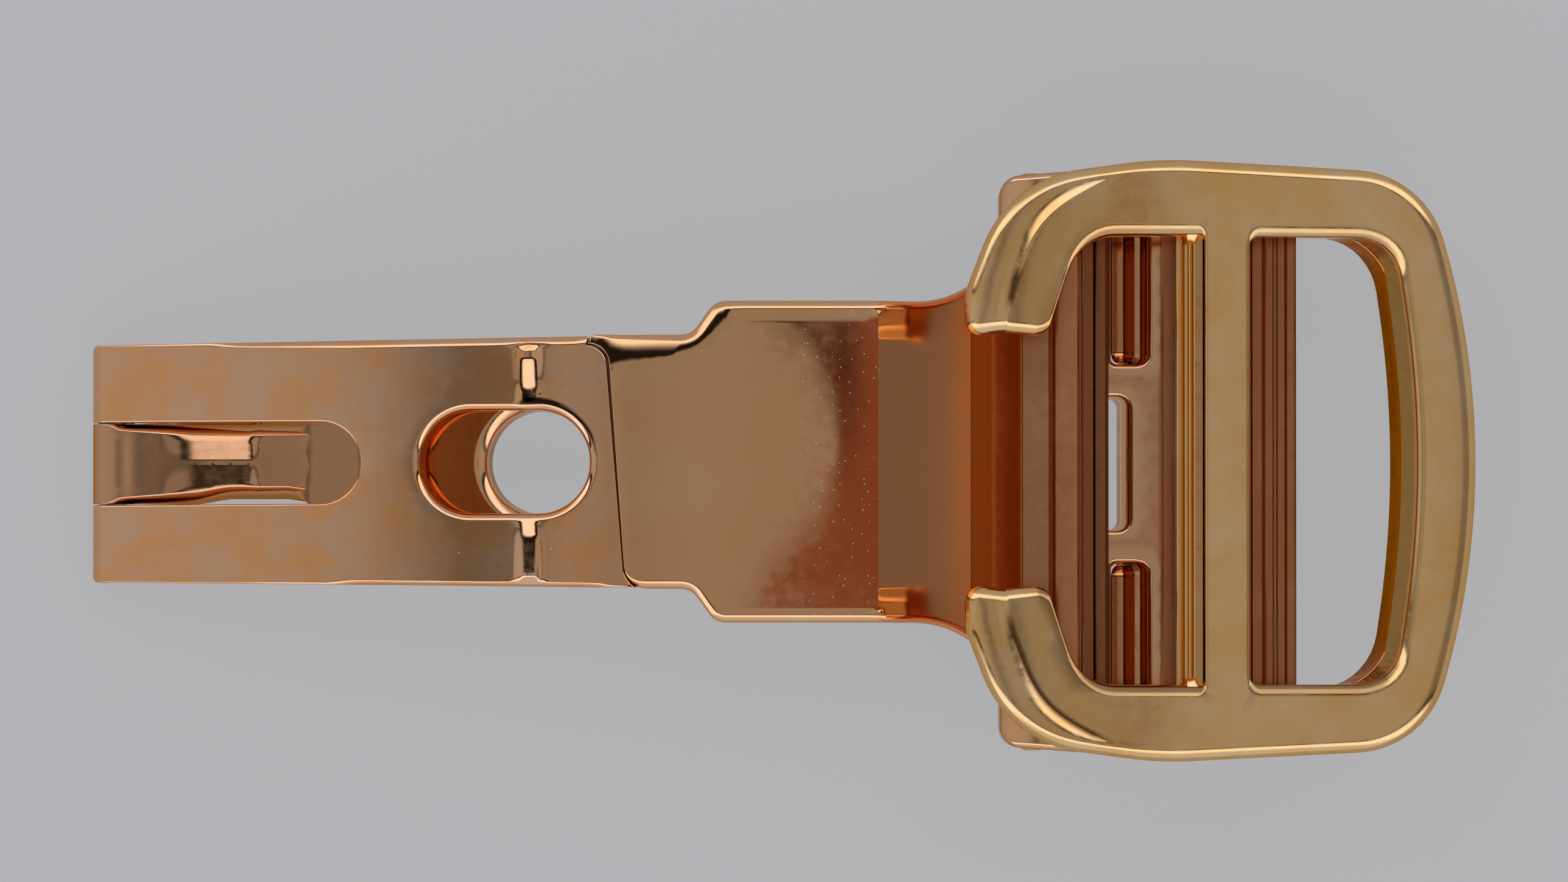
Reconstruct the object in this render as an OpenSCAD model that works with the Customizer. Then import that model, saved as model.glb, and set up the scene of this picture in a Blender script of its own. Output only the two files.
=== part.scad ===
// Folding deployant clasp for a 14 mm watch strap, drawn closed.
// X runs along the strap from the fold hinge to the bow of the front frame.
// Y runs across the strap, and Z points away from the surface it rests on.

/* [Overall] */
// Closed length from the hinge end to the bow
clasp_len = 46.5; // [44:0.5:50]
// Outer width of the front frame at its widest
frame_w = 20.1; // [19:0.1:22]

/* [Arch of the blades] */
// Radius that both blades follow
arch_r = 64; // [55:1:90]
// Place of the arch's crown along X
crown_x = 0.6; // [-1:0.1:2]

/* [Upper blade] */
// Thickness of the upper blade and the head plate
blade_t = 1.1; // [0.9:0.05:1.3]
// Width at the fold hinge
blade_w_hinge = 8.0; // [7.6:0.1:8.6]
// Width where it meets the head plate
blade_w_head = 8.5; // [8:0.1:9]
// Length of the fork slot from the hinge end
slot_len = 9.15; // [8.4:0.05:9.6]
// Width of the fork slot
slot_w = 2.74; // [2.6:0.02:3.2]
// Centre of the oblong hole along X
oblong_x = -9.25; // [-10:0.05:-8.8]
// Length of the oblong hole at the wall
oblong_len = 5.7; // [5:0.1:6]
// Width of the oblong hole at the wall
oblong_w = 3.44; // [3:0.02:3.6]
// Chamfer round the holes
hole_chamfer = 0.22; // [0.1:0.02:0.3]

/* [Fold hinge] */
// Radius of the hinge knuckles
knuckle_r = 0.8; // [0.7:0.02:0.9]
// Radius of the hinge pin
fold_pin_r = 0.35; // [0.3:0.01:0.4]
// Gap at each side of the middle knuckle
knuckle_gap = 0.05; // [0.03:0.01:0.1]

/* [Lower blade] */
// Thickness of the lower blade
lower_t = 0.9; // [0.8:0.05:1]
// Width of the lower blade
lower_w = 8.0; // [7:0.1:8.2]
// Gap between the closed blades
blade_gap = 0.2; // [0.15:0.01:0.25]
// Length of the tongue from the hinge end
tongue_len = 7.25; // [7:0.05:7.5]
// Width of the tongue at its waist
tongue_w = 1.7; // [1.4:0.05:2]
// Radius of the round hole
round_hole_r = 1.72; // [1.5:0.02:1.74]
// Centre of the round hole along X
round_hole_x = -8.1; // [-8.4:0.05:-7.8]

/* [Strap end plate] */
// Thickness of the plate that carries the fixed strap half
end_plate_t = 1.85; // [1.7:0.05:1.9]
// Length of the plate along X
end_plate_len = 6.6; // [6.5:0.1:7.2]
// Width of the plate
end_plate_w = 18.2; // [17.8:0.1:18.6]
// Radius of the strap pins
strap_pin_r = 0.4; // [0.3:0.01:0.5]
// Half width of the window in the middle
mid_window_half = 2.24; // [2:0.02:2.6]
// Where the side windows begin, from the middle
side_window_in = 3.33; // [3.1:0.01:3.6]
// Wall between the side windows and the plate's ends
side_wall = 0.8; // [0.6:0.05:1]

/* [Head plate] */
// Width of the wide stretch of the head plate
plate_w = 10.76; // [10:0.02:11.2]
// Length of the head plate up to the facet
plate_len = 8.75; // [8.4:0.05:9.2]
// Length of the half lap over the upper blade
lap_len = 4.2; // [3.6:0.1:4.6]
// Thickness that the lap leaves on top
lap_t = 0.5; // [0.4:0.02:0.6]
// Height that the sloped facet falls
facet_drop = 2.1; // [1.8:0.05:2.3]

/* [Strap grips] */
// Height of the front grip block
block_h = 1.0; // [0.8:0.05:1.2]
// Thickness of the floor under the front grip block
floor_t = 0.6; // [0.5:0.05:0.7]
// Height of the rear grip bar
rear_bar_h = 1.6; // [1.4:0.05:1.7]
// Width of the strap channel between the rails
channel_w = 15.2; // [15:0.1:15.6]
// Depth of the grip grooves
groove_d = 0.14; // [0.08:0.01:0.2]

/* [Front frame] */
// Radius of the front frame's crown along the strap
frame_r = 29; // [26:0.5:34]
// Thickness of the front frame
frame_t = 1.3; // [1.1:0.05:1.4]
// Height of the frame's crown above the blade's crown
frame_rise = 1.9; // [1.8:0.05:2.1]
// Radius of the bow in plan
bow_r = 26; // [22:0.5:32]
// Half width of both windows
window_half = 7.45; // [7.2:0.01:7.48]
// Width of the bow, from the window to the outer edge
bow_wall = 1.85; // [1.7:0.05:2.1]
// Width of the centre bar
centre_bar_w = 1.4; // [1.2:0.05:1.6]
// Half of the gap between the arm tips
arm_gap_half = 4.15; // [4.1:0.05:4.6]

/* [Frame hinge and snap] */
// Radius of the pins that carry the front frame
frame_pin_r = 0.4; // [0.3:0.01:0.45]
// Radius of the ears round those pins
ear_r = 0.95; // [0.85:0.01:1]
// Radius of the snap plungers
plunger_r = 0.3; // [0.26:0.01:0.34]
// How far the plungers reach into the clamp bar
snap_depth = 0.08; // [0.04:0.01:0.08]
// How far the catch nose reaches under the window's edge
catch_depth = 0.03; // [0.01:0.01:0.03]
// Radial clearance of the turning pins
run_gap = 0.03; // [0.02:0.01:0.05]

/* [Hidden] */
$fn = 96;
ROSE = [0.72, 0.53, 0.40];
GOLD = [0.72, 0.60, 0.38];
STEEL = [0.62, 0.62, 0.64];
// Overlap that joins two volumes of one piece
eps = 0.02;
// Far beyond every piece, for cutting shapes
far = 60;

// Fold hinge: its knuckles touch the ground and the arch's top surface
left_x = -clasp_len / 2;
right_x = clasp_len / 2;
hinge_x = left_x + knuckle_r;
hinge_z = knuckle_r;
arch_cz = hinge_z - sqrt(pow(arch_r - knuckle_r, 2) - pow(hinge_x - crown_x, 2));
crown_z = arch_cz + arch_r;
hinge_tilt = asin((hinge_x - crown_x) / (arch_r - knuckle_r));

// Radii of the four blade surfaces about the arch's centre
upper_in_r = arch_r - blade_t;
lower_out_r = upper_in_r - blade_gap;
lower_in_r = lower_out_r - lower_t;

// Height of a surface of the arch, and how far it leans
function arch_z(x, r) = arch_cz + sqrt(r * r - pow(x - crown_x, 2));
function lean(x) = asin((x - crown_x) / arch_r);

// Stations along X, all placed from the bow or the hinge end
crown_to_bow = 12.15;
crown_to_facet = 7.85;
frame_cx = right_x - crown_to_bow;
block_x0 = frame_cx - 3.0;
block_x1 = frame_cx - 0.1;
rear_x0 = frame_cx + 1.68;
rear_x1 = frame_cx + 6.2;
facet_x0 = frame_cx - crown_to_facet;
facet_x1 = frame_cx - 4.7;
pivot_x = frame_cx - 2.7;
bar_x0 = frame_cx + 3.1;
bar_x1 = bar_x0 + centre_bar_w;

// Levels
facet_z = crown_z - facet_drop;
end_plate_z1 = end_plate_t;
floor_z0 = end_plate_z1 + blade_gap;
floor_z1 = floor_z0 + floor_t;
block_z1 = floor_z1 + block_h;
rear_z1 = floor_z0 + rear_bar_h;
frame_cz = crown_z + frame_rise - frame_r;
frame_in_r = frame_r - frame_t;
seat_gap = 0.03;
ring_top_r = frame_in_r - seat_gap;
bow_under_r = frame_in_r - 1.5;
pivot_z = crown_z - 0.6;
// Lean of the front frame at its bow, where the window's far wall stands square to it
bow_tilt = asin((right_x - bow_wall - frame_cx) / frame_r);

// Rails of the base ring
rail_in = channel_w / 2;
rail_out = frame_w / 2 - 0.35;
ring_inset = 0.25;
ring_lip = 0.1;
lug_w = 0.75;
lug_gap = 0.06;
lug_in = rail_in + 0.15;
lug_out = lug_in + lug_w;

// Strap end plate
end_plate_x0 = frame_cx - 3.5;
end_plate_x1 = end_plate_x0 + end_plate_len;
side_window_out = end_plate_w / 2 - side_wall;
side_window_x0 = frame_cx - 1.5;
side_window_x1 = frame_cx + 1.45;
mid_window_x0 = frame_cx - 2.2;
mid_window_x1 = frame_cx + 0.76;
strap_pin_x = frame_cx + 0.45;
strap_pin_z = end_plate_t / 2;
strap_pin_end = side_window_in + 0.12;
pin_tip_r = 0.2;
tab_half = 3.0;
tab_len = 1.1;

// Clamp bar under the front frame's centre bar
clamp_x0 = bar_x0 - 0.95;
clamp_x1 = bar_x1 - 0.15;
clamp_z0 = crown_z - 0.75;
ledge_z = crown_z + 0.45;
clamp_half = rail_in - 0.15;

// Snap plungers in the rails
snap_x = (clamp_x0 + clamp_x1) / 2;
snap_z = crown_z - 0.28;
plunger_len = 0.7;
plunger_travel = 0.25;
snap_wall = 0.35;
snap_bore_len = rail_out - rail_in - snap_wall;
snap_tip = clamp_half - snap_depth;

// Catch leaf under the floor
leaf_t = 0.15;
leaf_half = 1.5;
leaf_x1 = mid_window_x1 - 1.1;
leaf_z1 = floor_z0 + 0.2;
nose_t = 0.3;
nose_half = 0.6;
nose_z0 = end_plate_t - 1.1;
nose_bead_r = 0.3;
rivet_r = 0.3;

// Outline with each corner rounded: each point is [x, y, radius]
function unit(v) = v / norm(v);
function corner(p, c, n, steps) =
    let (
        a = unit([p[0] - c[0], p[1] - c[1]]),
        b = unit([n[0] - c[0], n[1] - c[1]]),
        half = acos(max(-1, min(1, a * b))) / 2,
        reach = c[2] / tan(half),
        mid = [c[0], c[1]] + unit(a + b) * c[2] / sin(half),
        t0 = [c[0], c[1]] + a * reach,
        t1 = [c[0], c[1]] + b * reach,
        a0 = atan2(t0[1] - mid[1], t0[0] - mid[0]),
        turn = atan2(t1[1] - mid[1], t1[0] - mid[0]) - a0,
        sweep = turn > 180 ? turn - 360 : (turn < -180 ? turn + 360 : turn)
    )
    c[2] < 0.01 ? [[c[0], c[1]]]
    : [for (i = [0:steps]) mid + c[2] * [cos(a0 + sweep * i / steps), sin(a0 + sweep * i / steps)]];
function rounded(pts, steps = 8) =
    [for (i = [0:len(pts) - 1])
        each corner(pts[(i + len(pts) - 1) % len(pts)], pts[i], pts[(i + 1) % len(pts)], steps)];
// The same outline drawn in by d, walked anticlockwise
function inset(pts, d) =
    [for (i = [0:len(pts) - 1])
        let (
            p = pts[(i + len(pts) - 1) % len(pts)],
            c = pts[i],
            n = pts[(i + 1) % len(pts)],
            e1 = unit([c[0] - p[0], c[1] - p[1]]),
            e2 = unit([n[0] - c[0], n[1] - c[1]]),
            n1 = [-e1[1], e1[0]],
            n2 = [-e2[1], e2[0]],
            k = (n1 + n2) / (1 + n1 * n2)
        )
        [c[0] + d * k[0], c[1] + d * k[1], max(0, c[2] + (cross(e1, e2) > 0 ? -d : d))]];
// Full outline from one half, walked in order and then back on the other side of Y = 0
function both_sides(half) =
    concat(half, [for (i = [len(half) - 1:-1:0])
        if (abs(half[i][1]) > 0.001) [half[i][0], -half[i][1], half[i][2]]]);

// Shape in the XZ plane carried across Y
module across(w) {
    rotate([90, 0, 0]) linear_extrude(w, center = true) children();
}

// Round bar along Y from y0 to y1
module bar_y(x, z, r, y0, y1) {
    translate([x, y1, z]) rotate([90, 0, 0]) cylinder(r = r, h = y1 - y0);
}

// Block between two corners
module box(x0, x1, y0, y1, z0, z1) {
    translate([x0, y0, z0]) cube([x1 - x0, y1 - y0, z1 - z0]);
}

// Plan shape carried through the whole height
module tall() {
    translate([0, 0, -far / 2]) linear_extrude(far) children();
}

// Band between two radii of the arch, seen from the side
module arch_band(r_out, r_in) {
    difference() {
        translate([crown_x, arch_cz]) circle(r = r_out, $fn = 360);
        translate([crown_x, arch_cz]) circle(r = r_in, $fn = 360);
    }
}

// Frame at the arch's surface, with Z square to it
module on_arch(x, r) {
    translate([x, 0, arch_z(x, r)]) rotate([0, lean(x), 0]) children();
}

// Straight hole with a chamfered mouth, its mouth at Z = 0
module chamfered_hole(len, w, depth) {
    mouth = hole_chamfer + eps;
    for (s = [-1, 1]) translate([s * (len - w) / 2, 0, 0]) {
        translate([0, 0, -depth]) cylinder(r = w / 2, h = depth + 1);
        translate([0, 0, -hole_chamfer]) cylinder(r1 = w / 2, r2 = w / 2 + mouth, h = mouth);
        translate([0, 0, eps - 0.001]) cylinder(r = w / 2 + mouth, h = 1);
    }
    if (len > w) {
        translate([-(len - w) / 2, -w / 2, -depth]) cube([len - w, w, depth + 1]);
        rotate([90, 0, 90]) linear_extrude(len - w, center = true)
            polygon([[-w / 2, -hole_chamfer], [w / 2, -hole_chamfer], [w / 2 + mouth, eps],
                [w / 2 + mouth, 1], [-w / 2 - mouth, 1], [-w / 2 - mouth, eps]]);
    }
}

// V grooves across the strap at each place in a list
module grooves(places, z, half) {
    for (x = places) translate([x, 0, z]) rotate([90, 0, 0])
        linear_extrude(2 * half, center = true)
            polygon([[-groove_d * 0.8, eps], [0, -groove_d], [groove_d * 0.8, eps]]);
}

// Tongue of the lower blade, seen from the side
tongue_x1 = left_x + tongue_len;
tongue_top = arch_z(tongue_x1, lower_out_r);
tongue_bottom = arch_z(tongue_x1, lower_in_r);
tongue_lean = atan((tongue_bottom - hinge_z + knuckle_r) / (tongue_x1 - hinge_x));
module tongue_side() {
    polygon([[tongue_x1 + eps, tongue_top], [tongue_x1 + eps, tongue_bottom],
        [hinge_x + knuckle_r * sin(tongue_lean), hinge_z - knuckle_r * cos(tongue_lean)],
        [hinge_x - (lower_t - knuckle_r) * sin(tongue_lean),
            hinge_z + (lower_t - knuckle_r) * cos(tongue_lean)]]);
}

// Bend of the lower blade down to the strap end plate, seen from the side
drop_x0 = facet_x0 - 1.3;
drop_x1 = facet_x1 - 0.5;
tab_z1 = end_plate_z1;
module lower_drop_side() {
    polygon([[drop_x0 - 0.3, arch_z(drop_x0 - 0.3, lower_out_r)], [drop_x0, arch_z(drop_x0, lower_out_r)],
        [drop_x1, tab_z1], [end_plate_x0 + tab_len, tab_z1],
        [end_plate_x0 + tab_len, tab_z1 - lower_t], [drop_x1 - 0.25, tab_z1 - lower_t],
        [drop_x0 - 0.3, arch_z(drop_x0 - 0.3, lower_in_r)]]);
}

module lower_blade() {
    tongue_half = slot_w / 2 - knuckle_gap;
    shoulder_x = tongue_x1 + 0.45;
    color(ROSE) difference() {
        union() {
            intersection() {
                across(2 * tongue_half) tongue_side();
                tall() polygon(rounded(both_sides([[left_x, tongue_half, 0],
                    [left_x + 1.7, tongue_half, 1.5], [left_x + 2.9, tongue_w / 2, 1.5],
                    [tongue_x1 - 0.7, tongue_w / 2, 0.8], [tongue_x1 + 0.4, tongue_half, 0]])));
            }
            bar_y(hinge_x, hinge_z, knuckle_r, -tongue_half, tongue_half);
            intersection() {
                across(lower_w + 2) arch_band(lower_out_r, lower_in_r);
                tall() polygon(rounded([[shoulder_x, lower_w / 2, 1], [drop_x0 - 0.3 + eps, lower_w / 2, 0],
                    [drop_x0 - 0.3 + eps, -lower_w / 2, 0], [shoulder_x, -lower_w / 2, 1],
                    [shoulder_x + 0.25, -1.9, 0.5], [tongue_x1 - 0.5, -tongue_w / 2, 0.5],
                    [tongue_x1 - 0.9, -tongue_w / 2, 0], [tongue_x1 - 0.9, tongue_w / 2, 0],
                    [tongue_x1 - 0.5, tongue_w / 2, 0.5], [shoulder_x + 0.25, 1.9, 0.5]], 5));
            }
            intersection() {
                across(lower_w) lower_drop_side();
                tall() polygon([[drop_x0 - 1, lower_w / 2], [end_plate_x0 - 0.6, lower_w / 2],
                    [end_plate_x0, tab_half], [end_plate_x0 + tab_len + 1, tab_half],
                    [end_plate_x0 + tab_len + 1, -tab_half], [end_plate_x0, -tab_half],
                    [end_plate_x0 - 0.6, -lower_w / 2], [drop_x0 - 1, -lower_w / 2]]);
            }
        }
        on_arch(round_hole_x, lower_out_r) chamfered_hole(2 * round_hole_r, 2 * round_hole_r, 2);
        bar_y(hinge_x, hinge_z, fold_pin_r + run_gap, -slot_w, slot_w);
    }
}

module strap_end_plate() {
    color(ROSE) difference() {
        tall_plate();
        // Rebate that takes the lower blade's tab
        box(end_plate_x0 - 1, end_plate_x0 + tab_len, -tab_half, tab_half, tab_z1 - lower_t, tab_z1 + 1);
        tall() polygon(rounded(both_sides([[mid_window_x0, mid_window_half, 0.3],
            [mid_window_x1, mid_window_half, 0.35]]), 5));
        for (s = [-1, 1]) {
            tall() polygon(rounded([[side_window_x0, s * side_window_in, 0.4],
                [side_window_x1, s * side_window_in, 0.7], [side_window_x1, s * side_window_out, 0.5],
                [side_window_x0, s * side_window_out, 0.4]], 5));
        }
        for (s = [-1, 1])
            bar_y(strap_pin_x, strap_pin_z, strap_pin_r, s > 0 ? side_window_out - 1 : -far,
                s > 0 ? far : 1 - side_window_out);
    }
}
module tall_plate() {
    linear_extrude(end_plate_t) polygon(rounded(both_sides([[end_plate_x0, end_plate_w / 2, 1.1],
        [end_plate_x1, end_plate_w / 2, 1.1]]), 6));
}

// Strap pin, pressed through the plate's side, with a rounded inner tip; s picks the side
module strap_pin(s) {
    color(ROSE) translate([strap_pin_x, 0, strap_pin_z]) rotate([-90 * s, 0, 0]) {
        translate([0, 0, strap_pin_end + pin_tip_r])
            cylinder(r = strap_pin_r, h = end_plate_w / 2 - strap_pin_end - pin_tip_r);
        translate([0, 0, strap_pin_end])
            cylinder(r1 = strap_pin_r - pin_tip_r, r2 = strap_pin_r, h = pin_tip_r);
    }
}

// Seam of the half lap: slanted, running out along the edge at +Y and rounded at -Y
plate_x0 = facet_x0 - plate_len;
seam_gap = 0.05;
function seam(gap) =
    let (half = blade_w_head / 2, x = plate_x0 - gap)
    [[x - 0.9, half + gap, 0],
        [x - 0.9, half - 0.3 - gap, 0],
        [x - 0.3, half - 0.3 - gap, 0.7],
        [x + 0.3, -half - gap, 0.8]];

module upper_blade() {
    half_h = blade_w_hinge / 2;
    half_b = blade_w_head / 2;
    lap_x0 = plate_x0;
    color(ROSE) difference() {
        union() {
            intersection() {
                across(blade_w_head + 2) arch_band(arch_r, upper_in_r);
                tall() polygon([[hinge_x + knuckle_r * sin(hinge_tilt), half_h], [lap_x0 + lap_len, half_b],
                    [lap_x0 + lap_len, -half_b], [hinge_x + knuckle_r * sin(hinge_tilt), -half_h]]);
            }
            bar_y(hinge_x, hinge_z, knuckle_r, -half_h, half_h);
        }
        // Fork slot with its round end
        slot_end = left_x + slot_len - slot_w / 2;
        tall() translate([slot_end, 0]) circle(d = slot_w);
        box(left_x - 1, slot_end, -slot_w / 2, slot_w / 2, -1, crown_z + 1);
        on_arch(oblong_x, arch_r) chamfered_hole(oblong_len, oblong_w, 2);
        // Half lap under the head plate
        intersection() {
            across(far) arch_band(arch_r + 1, arch_r - lap_t);
            tall() polygon(rounded(concat(seam(seam_gap),
                [[lap_x0 + lap_len + 1, -half_b - seam_gap, 0],
                    [lap_x0 + lap_len + 1, half_b + seam_gap, 0]]), 6));
        }
        bar_y(hinge_x, hinge_z, fold_pin_r, -far, far);
    }
}

module fold_hinge_pin() {
    color(STEEL) bar_y(hinge_x, hinge_z, fold_pin_r, -blade_w_hinge / 2, blade_w_hinge / 2);
}

// Head plate: half lap, wide stretch and sloped facet
plate_end_half = 6.0;
module head_plate() {
    half_b = blade_w_head / 2;
    half_p = plate_w / 2;
    color(ROSE) difference() {
        intersection() {
            union() {
                intersection() {
                    across(plate_w + 4) arch_band(arch_r, upper_in_r);
                    box(plate_x0 - 2, facet_x0 + eps, -far, far, 0, far);
                }
                across(far) polygon([[facet_x0, arch_z(facet_x0, arch_r)], [facet_x1, facet_z],
                    [facet_x1, floor_z1], [facet_x1 - 0.35, floor_z1],
                    [facet_x0 - 0.4, arch_z(facet_x0 - 0.4, upper_in_r)],
                    [facet_x0 - 0.4, arch_z(facet_x0 - 0.4, arch_r) - 0.05]]);
            }
            tall() polygon(rounded(concat(seam(0), both_sides([[plate_x0 + 2.5, -half_b, 0.7],
                [plate_x0 + 3.3, -half_p, 0.7], [facet_x0 + 2.1, -half_p, 3.2],
                [facet_x1, -plate_end_half, 0]])), 6));
        }
        intersection() {
            across(far) arch_band(arch_r - lap_t, upper_in_r - 1);
            box(plate_x0 - 2, plate_x0 + lap_len, -far, far, 0, far);
        }
    }
}

// Outline of the front frame in plan: bow, corners, sides and arms
tip_x = facet_x1 - 0.16;
corner_r = 3.2;
corner_drop = 2.75;
corner_reach = 2.4;
bow_turn = asin((frame_w / 2 - corner_drop) / bow_r);
bow_end_x = right_x - bow_r + bow_r * cos(bow_turn);
function frame_outline() = both_sides([
    [right_x - bow_r + bow_r / cos(bow_turn), 0, bow_r],
    [bow_end_x - corner_reach * sin(bow_turn),
        frame_w / 2 - corner_drop + corner_reach * cos(bow_turn), corner_r],
    [frame_cx + 1.5, frame_w / 2, 12],
    [facet_x1 + 1.18, frame_w / 2 - 0.67, 4],
    [tip_x, 5.7, 1.5]]);
// Opening between the arms, half at +Y
function c_half() = [
    [tip_x - 3, arm_gap_half, 0],
    [tip_x + 2.6, arm_gap_half, 0.5],
    [tip_x + 3.7, window_half, 1.6],
    [bar_x0, window_half, 0.15]];
// Window's far end in the frame at bow_tilt, half at +Y: its edge runs along the bow
window_arc_r = 35;
window_arc_half = 5.4;
function bow_end_half(x, half, r) =
    let (
        turn = asin(window_arc_half / window_arc_r),
        arc_x = x - window_arc_r + window_arc_r * cos(turn)
    )
    [[-4.3, half, 0],
        [arc_x - (half - window_arc_half) * tan(turn), half, r],
        [x - window_arc_r + window_arc_r / cos(turn), 0, window_arc_r]];

// The bow window's cut: upright at the centre bar, and square to the frame at the bow
module bow_window(half, x, r) {
    tall() polygon(rounded(both_sides([[bar_x1, half, 0.35], [bar_x1 + 2.2, half, 0]])));
    translate([frame_cx, 0, frame_cz]) rotate([0, bow_tilt, 0]) translate([0, 0, frame_r / 2])
        linear_extrude(frame_r) polygon(rounded(both_sides(bow_end_half(x, half, r)), 8));
}

module front_frame() {
    color(GOLD) difference() {
        union() {
            intersection() {
                across(far) difference() {
                    translate([frame_cx, frame_cz]) circle(r = frame_r, $fn = 360);
                    translate([frame_cx, frame_cz]) circle(r = frame_in_r, $fn = 360);
                }
                tall() difference() {
                    polygon(rounded(frame_outline(), 10));
                    polygon(rounded(both_sides(c_half()), 8));
                }
            }
            for (s = [-1, 1]) frame_lug(s);
        }
        bow_window(window_half, 0, 1.5);
        for (s = [-1, 1])
            bar_y(pivot_x, pivot_z, frame_pin_r + run_gap, s > 0 ? lug_in - 1 : -lug_out - 0.3,
                s > 0 ? lug_out + 0.3 : 1 - lug_in);
    }
}

// Lug under each arm, round the frame's pivot pin
lug_r = ear_r - 0.1;
module frame_lug(s) {
    y0 = s > 0 ? lug_in : -lug_out;
    bar_y(pivot_x, pivot_z, lug_r, y0, y0 + lug_w);
    intersection() {
        box(pivot_x - 0.1, pivot_x + lug_r, y0, y0 + lug_w, pivot_z, crown_z + 2);
        across(far) translate([frame_cx, frame_cz]) circle(r = frame_in_r + eps, $fn = 360);
    }
}

// Ribbed bar under the frame's centre bar that presses on the strap
module clamp_bar() {
    color(GOLD) difference() {
        intersection() {
            box(clamp_x0, clamp_x1, -clamp_half, clamp_half, clamp_z0, crown_z + 2);
            across(far) union() {
                intersection() {
                    translate([frame_cx, frame_cz]) circle(r = frame_in_r, $fn = 360);
                    translate([bar_x0 + 0.02, 0]) square([far, far]);
                }
                translate([clamp_x0 - 1, 0]) square([bar_x0 + 1.02 - clamp_x0, ledge_z - 0.12]);
                translate([clamp_x0 + 0.22, ledge_z - 0.2]) circle(r = 0.2);
                translate([clamp_x0 + 0.62, 0]) square([bar_x0 - clamp_x0 - 0.62, ledge_z]);
            }
        }
        translate([0, 0, 2 * clamp_z0]) mirror([0, 0, 1])
            grooves([for (i = [0:3]) clamp_x0 + 0.35 + 0.5 * i], clamp_z0, clamp_half + 1);
        for (s = [-1, 1]) translate([snap_x, s * (snap_tip + plunger_r), snap_z])
            sphere(r = plunger_r + 0.04);
    }
}

// Base ring seen from the side: ears, rails and bow
ear_foot = 0.85 * ear_r;
module ring_side() {
    intersection() {
        translate([frame_cx, frame_cz]) circle(r = ring_top_r, $fn = 360);
        union() {
            polygon([[pivot_x, floor_z0], [rear_x1 + 0.3, floor_z0], [rear_x1 + 2.6, floor_z0 + 2.7],
                [rear_x1 + 2.6, crown_z + 3], [pivot_x, crown_z + 3]]);
            difference() {
                translate([rear_x1, 0]) square([far, far]);
                translate([frame_cx, frame_cz]) circle(r = bow_under_r, $fn = 360);
            }
        }
    }
    translate([pivot_x, pivot_z]) circle(r = ear_r);
    translate([pivot_x - ear_foot, floor_z0]) square([ear_foot + eps, pivot_z - floor_z0]);
}

// Base ring in plan: rails with rounded ears at the pivot, and the bow
module ring_plan() {
    ear_x = pivot_x - ear_r - 0.05;
    rim = inset(frame_outline(), ring_inset);
    polygon(rounded(both_sides([rim[0], rim[1], [frame_cx + 1.5, rail_out + 0.1, 12],
        [pivot_x + 1.5, rail_out, 6], [ear_x, rail_out - 0.2, 1]]), 10));
}

module base_ring() {
    hole_half = window_half + seat_gap;
    color(ROSE) difference() {
        union() {
            difference() {
                intersection() {
                    across(far) ring_side();
                    tall() ring_plan();
                }
                box(pivot_x - 9, rear_x1 + 0.6, -rail_in, rail_in, -1, far);
                bow_window(hole_half, -ring_lip, 2.2);
            }
            ring_floor();
        }
        for (s = [-1, 1]) {
            // Room for the frame's lug
            box(pivot_x - 3, pivot_x + lug_r + 0.35, s > 0 ? lug_in - 0.2 : -lug_out - lug_gap,
                s > 0 ? lug_out + lug_gap : 0.2 - lug_in, pivot_z - lug_r - 0.2, far);
            bar_y(pivot_x, pivot_z, frame_pin_r, s > 0 ? rail_in : -far, s > 0 ? far : -rail_in);
            // Blind bore for the snap plunger
            bar_y(snap_x, snap_z, plunger_r + run_gap, s > 0 ? rail_in - 1 : -rail_in - snap_bore_len,
                s > 0 ? rail_in + snap_bore_len : 1 - rail_in);
        }
        // Pocket for the catch leaf
        box(mid_window_x0 - 0.2, far, -leaf_half - 0.2, leaf_half + 0.2, -1, leaf_z1);
        for (s = [-1, 1]) translate([leaf_x1 - 0.45, s * 0.9, 0]) cylinder(r = rivet_r, h = floor_z1 - 0.1);
    }
}

// Floor that joins the rails under the front grip block
module ring_floor() {
    intersection() {
        box(facet_x1 - 0.35, block_x1, -far, far, floor_z0, floor_z1);
        tall() polygon(rounded(both_sides([[facet_x1 - 0.4, plate_end_half - 0.1, 0],
            [facet_x1, plate_end_half, 0], [pivot_x - ear_r + 0.05, rail_in + 0.6, 0],
            [block_x1 + 1, rail_in + 0.6, 0]])));
    }
}

// Two grips: grooves run across the strap
module front_grip_block() {
    color(ROSE) difference() {
        box(block_x0, block_x1, -rail_in, rail_in, floor_z1, block_z1);
        grooves([block_x0 + 1.12, block_x0 + 1.3, block_x0 + 2.15, block_x0 + 2.4], block_z1, far);
    }
}
module rear_grip_bar() {
    color(ROSE) difference() {
        box(rear_x0, rear_x1, -rail_in, rail_in, floor_z0, rear_z1);
        grooves([for (i = [0:4]) rear_x0 + 0.55 + 0.8 * i], rear_z1, far);
    }
}

// Pins that the front frame turns on; s picks the side
module frame_pin(s) {
    y0 = s > 0 ? lug_in : -rail_out;
    color(ROSE) bar_y(pivot_x, pivot_z, frame_pin_r, y0, y0 + rail_out - lug_in);
}

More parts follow.
